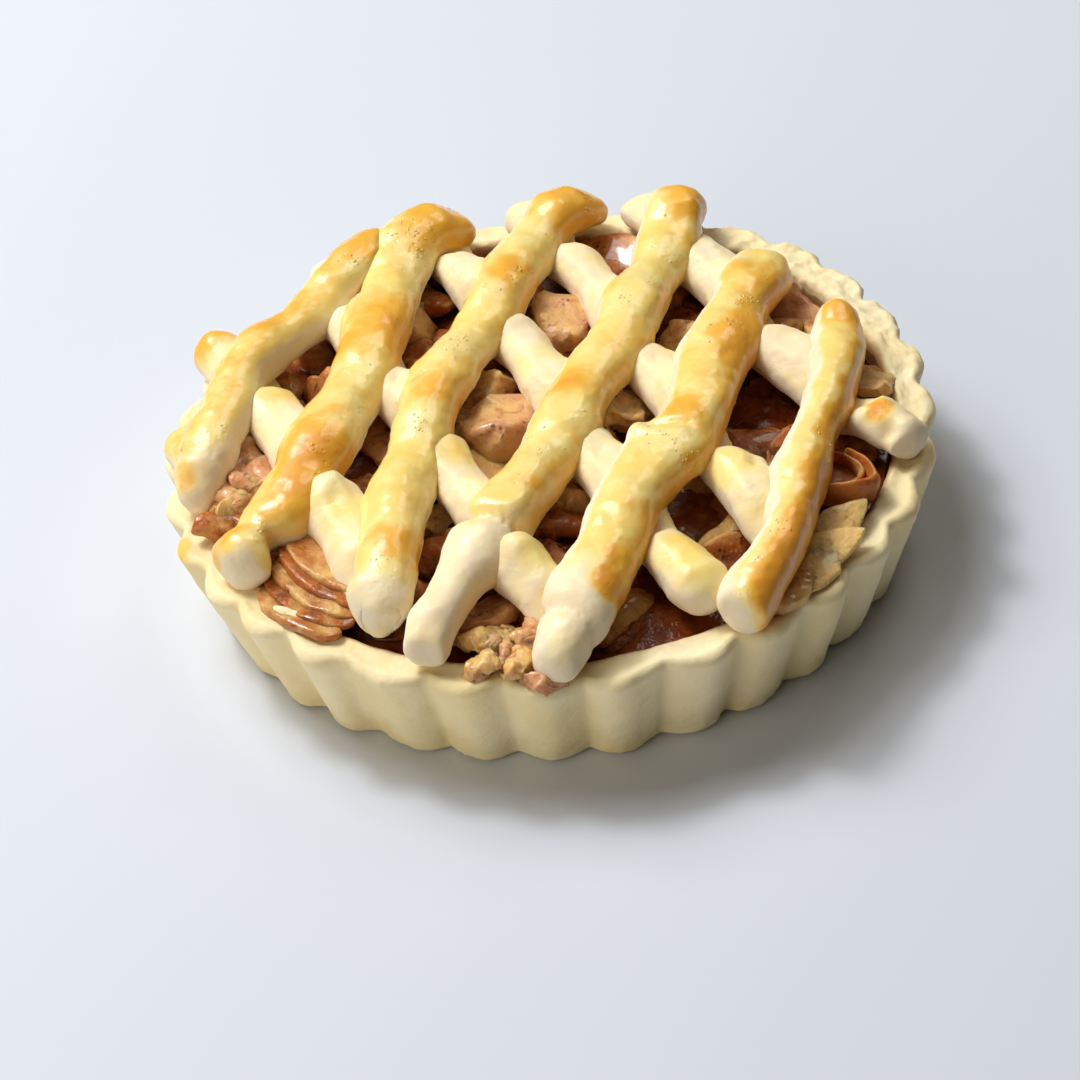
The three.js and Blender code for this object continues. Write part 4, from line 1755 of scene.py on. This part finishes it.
    def build(self, solids: dict[str, Piece], shell: Piece, pale: Material, glazed: Material) -> None:
        """Makes every strip's piece.

        Args:
            solids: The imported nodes.
            shell: The shell that the strips lie on.
            pale: Finish of the lower strips.
            glazed: Finish of the upper strips.
        """
        recipe = self.recipe()
        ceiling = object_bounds()[1][2] - self.headroom * MM
        looks = LOWER_LOOKS + UPPER_LOOKS
        self.strips = [self._smooth_copy(look.node, solids[look.node]) for look in looks]
        self._melt(self.strips, shell)
        for look, strip in zip(looks, self.strips):
            self._press(strip, look.marks)
            recipe.run(
                strip,
                glazed if look.glazed else pale,
                Gild=look.gild,
                Lean=look.lean,
                Bare_front=look.bare_front * MM,
                Ceiling=ceiling,
                Bubbles_per_square_metre=self.bubbles / MM**2 if look.glazed else 0.0,
            )
            self._bake(strip, look)
            declare(strip, Slot.GLAZED_DOUGH if look.glazed else Slot.PALE_DOUGH, look.node)


@dataclass(frozen=True)
class MorselShape:
    """The form of one kind of loose piece, in millimetres, with the roughness of its surface."""

    cut: Cut
    length: float
    width: float
    thickness: float
    bend: float
    squareness: float
    end_power: float
    rough: float
    rings: int = 18
    sides: int = 20
    bend_middle: float = 0.4
    crown: float = 0.5
    uneven: float = 0.25
    coarse: float = 0.33
    fine: float = 0.9
    fine_share: float = 0.4
    noise_range: float = 50.0

    def mesh(self, draw: random.Random) -> tuple[np.ndarray, Faces]:
        """Makes one piece lying flat with its middle at the origin.

        Args:
            draw: Source of its small differences.

        Returns:
            Its points, in millimetres, and its faces.
        """
        power = 2 / self.squareness
        seed = Vector([draw.uniform(0, self.noise_range) for _ in range(3)])
        lean = draw.uniform(-self.uneven, self.uneven)
        points = []
        for ring in range(self.rings + 1):
            along = -math.cos(math.pi * ring / self.rings)
            swell = max(1 - abs(along) ** self.end_power, 0.0) ** (1 / self.end_power)
            for side in range(self.sides if 0 < ring < self.rings else 1):
                angle = FULL_TURN * side / self.sides
                cosine, sine = math.cos(angle), math.sin(angle)
                across = math.copysign(abs(cosine) ** power, cosine)
                up = math.copysign(abs(sine) ** power, sine)
                thin = 1 + lean * across
                point = Vector((
                    along * self.length / 2,
                    across * swell * self.width / 2 + self.bend * (along * along - self.bend_middle),
                    up * swell**self.crown * thin * self.thickness / 2,
                ))
                shake = noise.noise_vector(point * self.coarse + seed) * self.rough
                shake += noise.noise_vector(point * self.fine + seed) * self.rough * self.fine_share
                points.append(point + shake)
        return np.array([tuple(point) for point in points]), joined_rings(self.rings - 1, self.sides)


# Columns: cut, length, width, thickness, bend, squareness, end power, roughness, rings.
SLICE = MorselShape(Cut.SLICE, 18.0, 8.0, 2.2, 2.6, 5.0, 2.0, 0.6)
SHARD = MorselShape(Cut.SLICE, 12.0, 6.0, 2.6, 1.2, 4.4, 2.8, 0.85)
CHUNK = MorselShape(Cut.CHUNK, 11.5, 9.5, 7.6, 0.6, 4.0, 3.2, 1.4)
CURL = MorselShape(Cut.SLICE, 9.5, 1.5, 4.6, 5.6, 3.4, 4.0, 0.3, 26)
CRUMB = MorselShape(Cut.CHUNK, 10.0, 6.0, 4.6, 1.0, 2.3, 2.2, 1.7)
WEDGE = MorselShape(Cut.SLICE, 15.0, 7.0, 1.3, 0.6, 4.0, 1.3, 0.3)
SLIVER = MorselShape(Cut.SLICE, 19.0, 6.0, 1.6, 1.4, 5.0, 2.0, 0.45)
FLAKE = MorselShape(Cut.FLAKE, 4.6, 1.6, 0.6, 0.3, 3.0, 2.2, 0.4)


@dataclass(frozen=True)
class Placed:
    """A piece in its place: middle in millimetres, turns in degrees, size, colour and whether it sinks."""

    shape: MorselShape
    x: float
    y: float
    z: float
    tip: float = 0.0
    roll: float = 0.0
    turn: float = 0.0
    size: float = 1.0
    tint: float = 0.4
    toast: float = 0.3
    sinks: bool = True


@dataclass(frozen=True)
class Strewing:
    """How far pieces laid by chance may tip and roll, in degrees, and the limits of their size and colour."""

    tip: float
    roll: float
    sizes: Band
    tints: Band
    toasts: Band

    def pick(self, draw: random.Random, turn: float | None = None) -> dict[str, float]:
        """Draws one piece's turns, size and colour.

        Args:
            draw: Source of chance.
            turn: Its turn about the upright in degrees, or nothing for any turn.

        Returns:
            The values, by the names of Placed's fields.
        """
        return {
            "tip": draw.uniform(-self.tip, self.tip),
            "roll": draw.uniform(-self.roll, self.roll),
            "turn": draw.uniform(0, 360) if turn is None else turn,
            "size": draw.uniform(*self.sizes),
            "tint": draw.uniform(*self.tints),
            "toast": draw.uniform(*self.toasts),
        }


@dataclass
class StripGuard:
    """Tells whether points lie inside the dough."""

    pieces: Iterable[Piece]
    crossings: int = 8
    step: float = 1e-6

    def __post_init__(self) -> None:
        """Gathers the dough's faces."""
        self.tree = dough_tree(self.pieces)

    def covers(self, point: Sequence[float]) -> bool:
        """Whether a point lies inside the dough, which a ray from it then crosses an odd number of times.

        Args:
            point: The point, in metres.

        Returns:
            True inside the dough.
        """
        up = Vector((0.0, 0.0, 1.0))
        start = Vector(point)
        crossed = 0
        for _ in range(self.crossings):
            hit = self.tree.ray_cast(start, up)[0]
            if hit is None:
                break
            crossed += 1
            start = hit + up * self.step
        return crossed % 2 == 1


@dataclass
class AppleFilling:
    """Slices and chunks of apple on a core of dark syrup, in millimetres."""

    node: str = "apple_filling"
    radius: float = 48.2
    edge: float = 16.3
    rise: float = 2.0
    floor: float = 3.8
    taper: float = 1.6
    syrup_drop: float = 0.9
    syrup_reach: float = 0.99
    syrup_shore: float = 4.0
    syrup_bump: float = 1.1
    swells: float = 0.17
    ripples: float = 0.45
    ripple_share: float = 0.5
    rings: int = 48
    sides: int = 144
    tries: int = 520
    spacing: float = 6.8
    seed: int = 11
    slice_share: float = 0.5
    margin: float = 3.0
    lift: float = 0.7
    strewn: Strewing = Strewing(35, 30, (0.75, 1.05), (0.0, 0.7), (0.25, 0.95))
    sink_step: float = 0.7
    sink_tries: int = 9
    probe_step: int = 5
    pools: tuple[Place, ...] = ((12.6, -41.0, 6.5), (-16.0, 12.0, 4.0), (30.0, -4.0, 4.0))
    pool_rise: float = 1.0
    stacked: int = 5
    stack_start: Place = (-36.0, -32.8, 17.9)
    stack_step: Place = (1.35, 1.15, 0.6)
    spilled: int = 15
    spill_place: Place = (-8.8, -46.6, 17.9)
    spill_spread: Place = (5.2, 3.4, 0.6)
    spilling: Strewing = Strewing(30, 30, (0.4, 0.72), (0.3, 1.0), (-0.2, 0.4))
    rim_slices: int = 26
    rim_reach: float = 43.4
    rim_outs: Band = (-0.8, 0.5)
    rim_lift: float = 1.2
    rim_lifts: float = 0.5
    rim_jitter: float = 0.2
    rim_turns: float = 14.0
    rim_strewn: Strewing = Strewing(30, 8, (0.7, 0.95), (0.0, 1.0), (0.3, 0.8))
    # Painted shade on the apple: points below this level darken over this depth, standing in for shade in the
    # hollows between pieces.
    low_shade_level: float = 17.8
    low_shade_depth: float = 4.5

    def level(self, distance: float) -> float:
        """Height of the filling at a distance from the middle, in millimetres."""
        share = min(distance / self.radius, 1.0)
        return self.edge + self.rise * (1 - share * share)

    def syrup(self, material: Material) -> Piece:
        """Makes the core with its bumpy syrup surface.

        Args:
            material: The syrup's finish.

        Returns:
            The core's piece.
        """
        points = [(0.0, 0.0, self.floor * MM)]
        for out, rise in ((self.radius - self.taper, self.floor), (self.radius, self.edge - self.syrup_drop)):
            points += [self._polar(out, step, rise) for step in range(self.sides)]
        for ring in range(self.rings, 0, -1):
            out = self.radius * ring / self.rings * self.syrup_reach
            for step in range(self.sides):
                place = Vector(self._polar(out, step, 0.0)) / MM
                bump = noise.noise(place * self.swells)
                bump += self.ripple_share * noise.noise(place * self.ripples)
                inner = min(1.0, (self.radius - out) / self.syrup_shore)
                rise = self.level(out) - self.syrup_drop + self.syrup_bump * bump * inner
                rise += self.pool_rise * inner * max(self._pooled(place.x, place.y), 0.0)
                points.append(self._polar(out, step, rise))
        points.append((0.0, 0.0, (self.level(0.0) - self.syrup_drop) * MM))
        faces = joined_rings(self.rings + 2, self.sides)
        return add_skin("filling_syrup", points, faces, material)

    def _pooled(self, x: float, y: float) -> float:
        """How far inside a pool of syrup a place lies: 1 in its middle and below 0 outside."""
        return max(1 - math.hypot(x - a, y - b) / reach for a, b, reach in self.pools)

    def _polar(self, out: float, step: int, rise: float) -> Place:
        """A point of one of the core's rings, in metres."""
        angle = FULL_TURN * step / self.sides
        return out * MM * math.cos(angle), out * MM * math.sin(angle), rise * MM

    def arranged(self) -> list[Placed]:
        """Lists the pieces that were put where they show best.

        Returns:
            The pieces, first those at the rim and then those in the openings.
        """
        stack = [
            Placed(
                SLIVER,
                *(start + gap * step for start, gap in zip(self.stack_start, self.stack_step)),
                tip=-6,
                roll=2 * step - 4,
                turn=-57 + 2 * step,
                tint=0.2,
                toast=0.6 + 0.26 * (step % 2),
                sinks=False,
            )
            for step in range(self.stacked)
        ]
        # Columns: shape, x, y, z, tip, roll, turn, size, tint, toast, sinks.
        on_rim = [
            Placed(WEDGE, 34.4, -34.6, 18.7, 10, -8, 20, 0.85, 0.0, -0.1, False),
            Placed(WEDGE, 33.2, -37.4, 18.4, 6, -4, 62, 0.8, 0.1, 0.05, False),
            Placed(WEDGE, 36.6, -30.0, 19.0, 16, -6, 35, 0.8, 0.1, 0.2, False),
            Placed(SHARD, 28.6, -41.6, 18.2, 4, 0, 50, 0.75, 0.2, 0.45, False),
            Placed(CURL, 40.6, -22.4, 19.4, 10, 4, 62, 1.0, 0.2, 0.8, False),
            Placed(CURL, 39.8, -20.0, 18.6, 4, -6, 80, 0.8, 0.3, 0.7, False),
            Placed(SHARD, 46.6, 1.0, 18.6, 10, 20, 75, 0.9, 0.2, 0.45, False),
        ]
        openings = [
            Placed(SLICE, -11.6, -37.2, 18.9, -18, 6, 35, 0.9, 0.7, 0.35),
            Placed(CRUMB, -42.9, 0.4, 18.4, 10, 0, 60, 1.0, 0.7, -0.1, False),
            Placed(CRUMB, -42.2, -4.8, 18.6, -10, 15, 20, 1.05, 0.8, 0.1, False),
            Placed(CRUMB, -44.4, -8.6, 18.5, 12, -8, 75, 1.0, 0.6, 0.4, False),
            Placed(SHARD, -45.4, -11.8, 18.2, 20, 8, 58, 0.9, 0.2, 0.7, False),
            Placed(SHARD, -42.8, -10.2, 18.9, 30, 0, 50, 0.8, 0.1, 0.4, False),
            Placed(CRUMB, -15.6, -17.2, 18.2, 10, 0, 40, 0.9, 0.2, 0.2, False),
            Placed(CRUMB, 11.8, 0.8, 18.6, 10, 20, 40, 1.1, 0.3, 0.35, False),
            Placed(SHARD, -43.4, 1.0, 18.3, 16, 0, 66, 0.95, 0.8, -0.2, False),
            Placed(SHARD, -40.6, 6.2, 18.1, 10, 6, 58, 0.85, 0.7, 0.0, False),
            Placed(CHUNK, -6.4, 0.4, 18.6, 0, 12, 60, 1.05, 0.55, 0.05),
            Placed(CHUNK, 4.0, 24.4, 18.4, 15, 0, 100, 1.0, 0.5, 0.1),
            Placed(CHUNK, 28.0, -8.6, 17.0, 20, 10, 15, 0.9, 0.2, 0.9),
            Placed(SLICE, 21.6, -27.6, 19.2, 20, -5, 40, 0.9, 0.1, 0.2),
            Placed(SLICE, 18.4, -30.6, 18.6, 35, 0, 20, 0.8, 0.3, 0.5),
            Placed(CHUNK, -30.2, 26.2, 18.2, 0, 20, 20, 1.0, 0.4, 0.5),
            Placed(CHUNK, 13.2, 28.2, 18.2, 10, 0, 70, 0.9, 0.5, 0.2),
            Placed(SLICE, 22.0, 1.2, 19.0, 40, 0, 80, 0.8, 0.3, 0.4),
            Placed(CHUNK, 40.4, 2.2, 18.0, 0, 0, 30, 0.9, 0.3, 0.4),
            Placed(CRUMB, -4.4, -52.5, 17.5, 6, 0, -8, 0.52, 0.8, 0.3, False),
        ]
        flakes = [
            Placed(FLAKE, -36.8, -34.9, 19.0, 8, 4, -22, 1.0, sinks=False),
        ]
        return on_rim + stack + openings + flakes

    def over_rim(self, draw: random.Random) -> list[Placed]:
        """Heaps crumbled apple where it ran over the rim.

        Args:
            draw: Source of places and turns.

        Returns:
            The crumbled pieces.
        """
        crumbled = []
        for _ in range(self.spilled):
            place = [
                middle + spread * draw.uniform(-1, 1)
                for middle, spread in zip(self.spill_place, self.spill_spread)
            ]
            crumbled.append(Placed(CRUMB, *place, **self.spilling.pick(draw), sinks=False))
        return crumbled

    def along_rim(self, draw: random.Random) -> list[Placed]:
        """Lays slices along the shell's inner edge, so that no gap shows there.

        Args:
            draw: Source of their small differences.

        Returns:
            The slices.
        """
        slices = []
        for number in range(self.rim_slices):
            angle = FULL_TURN * (number + draw.uniform(-self.rim_jitter, self.rim_jitter)) / self.rim_slices
            turn = math.degrees(angle) + 90 + draw.uniform(-self.rim_turns, self.rim_turns)
            out = self.rim_reach + draw.uniform(*self.rim_outs)
            x, y = out * math.cos(angle), out * math.sin(angle)
            if self._pooled(x, y) > 0:
                continue
            shape = draw.choice((SLICE, SHARD, SHARD))
            z = self.edge + self.rim_lift + draw.uniform(-self.rim_lifts, self.rim_lifts)
            slices.append(Placed(shape, x, y, z, **self.rim_strewn.pick(draw, turn)))
        return slices

    def scattered(self, taken: Iterable[Placed], draw: random.Random) -> list[Placed]:
        """Heaps more pieces evenly over the filling.

        Args:
            taken: Pieces that already have a place.
            draw: Source of places and turns.

        Returns:
            The further pieces.
        """
        golden = math.pi * (3 - math.sqrt(5))
        spots = [(piece.x, piece.y) for piece in taken]
        heap = []
        for number in range(self.tries):
            out = (self.radius - self.margin) * math.sqrt((number + 0.5) / self.tries)
            x, y = out * math.cos(number * golden), out * math.sin(number * golden)
            shape = draw.choice((SLICE, SHARD)) if draw.random() < self.slice_share else CHUNK
            looks = self.strewn.pick(draw)
            if self._pooled(x, y) > 0 or any(math.hypot(x - a, y - b) < self.spacing for a, b in spots):
                continue
            spots.append((x, y))
            heap.append(Placed(shape, x, y, self.level(out) + self.lift, **looks))
        return heap

    def _settled(self, placed: Placed, points: np.ndarray, guard: StripGuard) -> np.ndarray | None:
        """Moves a piece into place and lets it sink until it is clear of the dough.

        Args:
            placed: Where the piece goes.
            points: Its own points, in millimetres.
            guard: The dough that it stays out of.

        Returns:
            Its points in metres, or nothing where no place is free.
        """
        turns = Euler(tuple(math.radians(angle) for angle in (placed.tip, placed.roll, placed.turn)))
        spin = np.array(turns.to_matrix())
        moved = (points * placed.size) @ spin.T + np.array((placed.x, placed.y, placed.z))
        if not placed.sinks:
            return moved * MM
        for _ in range(self.sink_tries):
            if not any(guard.covers(point) for point in moved[:: self.probe_step] * MM):
                return moved * MM
            moved[:, 2] -= self.sink_step
        return None

    def _browning_and_low_shade(self, placed: Placed, points: np.ndarray) -> np.ndarray:
        """How brown each point of a piece is: its own browning plus painted shade that grows the deeper the
        point lies below the filling's top.
        """
        depth = (self.low_shade_level - points[:, 2] / MM) / self.low_shade_depth
        return placed.toast + np.clip(depth, 0.0, 1.0)

    def _heaped(
        self, cut: Cut, heap: Iterable[Placed], draw: random.Random, guard: StripGuard, material: Material
    ) -> Piece:
        """Joins all pieces of one cut.

        Args:
            cut: The cut, which gives the name.
            heap: The pieces of every cut.
            draw: Source of their small differences.
            guard: The dough that they stay out of.
            material: The finish.

        Returns:
            The joined piece.
        """
        points: list[np.ndarray] = []
        faces: Faces = []
        tints: list[np.ndarray] = []
        toasts: list[np.ndarray] = []
        start = 0
        for placed in heap:
            if placed.shape.cut is not cut:
                continue
            shape_points, shape_faces = placed.shape.mesh(draw)
            settled = self._settled(placed, shape_points, guard)
            if settled is None:
                continue
            points.append(settled)
            faces += [tuple(start + corner for corner in face) for face in shape_faces]
            tints.append(np.full(len(settled), placed.tint))
            # Each piece's own browning plus painted shade on its lower points.
            toasts.append(self._browning_and_low_shade(placed, settled))
            start += len(settled)
        piece = add_skin(cut.value, np.concatenate(points).tolist(), faces, material)
        write_trait(piece.data, Trait.TINT, np.concatenate(tints))
        write_trait(piece.data, Trait.BROWNING_AND_SHADE, np.concatenate(toasts))
        return piece

    def build(self, apple: Material, syrup: Material, pastry: Material, dough: Iterable[Piece]) -> None:
        """Makes the filling's pieces and the flakes of pastry that fell on it.

        Args:
            apple: Finish of the apple.
            syrup: Finish of the core.
            pastry: Finish of the flakes.
            dough: The pieces that the apple stays out of.
        """
        declare(self.syrup(syrup), Slot.FILLING, self.node)
        guard = StripGuard(dough)
        draw = random.Random(self.seed)
        noise.seed_set(self.seed)
        arranged = self.arranged()
        heap = arranged + self.scattered(arranged, draw) + self.along_rim(draw) + self.over_rim(draw)
        for cut in Cut:
            if cut is Cut.FLAKE:
                declare(self._heaped(cut, heap, draw, guard, pastry), Slot.CRUST)
            else:
                declare(self._heaped(cut, heap, draw, guard, apple), Slot.FILLING, self.node)


@dataclass(frozen=True)
class PhotoCamera:
    """The camera at the photograph's angle: it looks down at the pie's front and leans to one side.

    Angles are in radians. The offset is the pie's place as the camera sees it, in millimetres.
    """

    tilt: float = 0.6816
    roll: float = -0.1179
    offset: Place = (2.574, 1.848, -443.05)
    view_angle: float = math.radians(20)
    clip_start: float = 0.01

    def build(self) -> None:
        """Adds the camera and makes it the scene's own."""
        right = Vector((1.0, 0.0, 0.0))
        up = Vector((0.0, math.sin(self.tilt), math.cos(self.tilt)))
        back = Vector((0.0, -math.cos(self.tilt), math.sin(self.tilt)))
        across = right * math.cos(self.roll) + up * math.sin(self.roll)
        upright = up * math.cos(self.roll) - right * math.sin(self.roll)
        axes = Matrix((across, upright, back)).transposed()
        lens = bpy.data.cameras.new("photo_camera")
        lens.sensor_fit = "HORIZONTAL"
        lens.angle = self.view_angle
        lens.clip_start = self.clip_start
        camera = bpy.data.objects.new("photo_camera", lens)
        camera.matrix_world = axes.to_4x4()
        camera.location = axes @ Vector(self.offset) * -MM
        bpy.context.scene.collection.objects.link(camera)
        bpy.context.scene.camera = camera


@dataclass(frozen=True)
class SoftLight:
    """A soft box: its place and size in metres, its power in watts, its colour and what it looks at."""

    name: str
    place: Place
    size: float
    power: float
    colour: Place
    target: Place = (0.0, 0.0, 0.01)

    def build(self) -> None:
        """Adds the light."""
        lamp = bpy.data.lights.new(self.name, "AREA")
        lamp.shape = "DISK"
        lamp.size = self.size
        lamp.energy = self.power
        lamp.color = self.colour
        light = bpy.data.objects.new(self.name, lamp)
        light.location = self.place
        aim = Vector(self.target) - Vector(self.place)
        light.rotation_euler = aim.to_track_quat("-Z", "Y").to_euler()
        bpy.context.scene.collection.objects.link(light)


@dataclass
class Studio:
    """A plain pale floor, soft light from behind on the left, and the camera."""

    floor_size: float = 6.0
    floor_drop: float = 0.05 * MM
    sky: Colour = (1.0, 0.9, 0.76, 1.0)
    sky_strength: float = 0.045
    lights: tuple[SoftLight, ...] = (
        SoftLight("window", (-0.4, 0.36, 0.82), 0.7, 7.7, (0.97, 0.98, 1.0)),
        SoftLight("bright_pane", (-0.42, 0.36, 0.84), 0.2, 3.9, (0.97, 0.98, 1.0)),
        SoftLight("far_pane", (0.36, 0.56, 0.74), 0.4, 1.3, (1.0, 0.95, 0.86)),
        SoftLight("left_fill", (-0.68, -0.6, 0.42), 0.8, 3.5, (1.0, 0.93, 0.82)),
    )

    def build(self) -> None:
        """Adds floor, light and camera."""
        half = self.floor_size / 2
        outline = ((-half, -half), (half, -half), (half, half), (-half, half))
        corners = [(x, y, -self.floor_drop) for x, y in outline]
        add_skin("floor", corners, [(0, 1, 2, 3)], FloorFinish().material())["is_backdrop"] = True
        world = bpy.data.worlds.new("soft sky")
        world.use_nodes = True
        background = world.node_tree.nodes["Background"]
        background.inputs["Color"].default_value = self.sky
        background.inputs["Strength"].default_value = self.sky_strength
        bpy.context.scene.world = world
        for light in self.lights:
            light.build()
        PhotoCamera().build()
        bpy.context.scene.view_settings.view_transform = "Standard"


def main() -> None:
    """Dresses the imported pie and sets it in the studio."""
    logging.basicConfig(level=logging.INFO, format="%(name)s: %(message)s")
    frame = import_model()
    effects = PieEffects()
    crust = CrustFinish().material(effects)
    shell = PastryShell().build(crust)
    lattice = Lattice()
    pale = DoughFinish("pale dough", gloss=0.15).material(effects)
    glazed = DoughFinish("glazed dough", gloss=0.6).material(effects)
    lattice.build(frame["nodes"], shell, pale, glazed)
    filling = AppleFilling()
    apple, syrup = AppleFinish().material(effects), SyrupFinish().material(effects)
    filling.build(apple, syrup, crust, [shell, *lattice.strips])
    Studio().build()


if __name__ == "__main__":
    main()
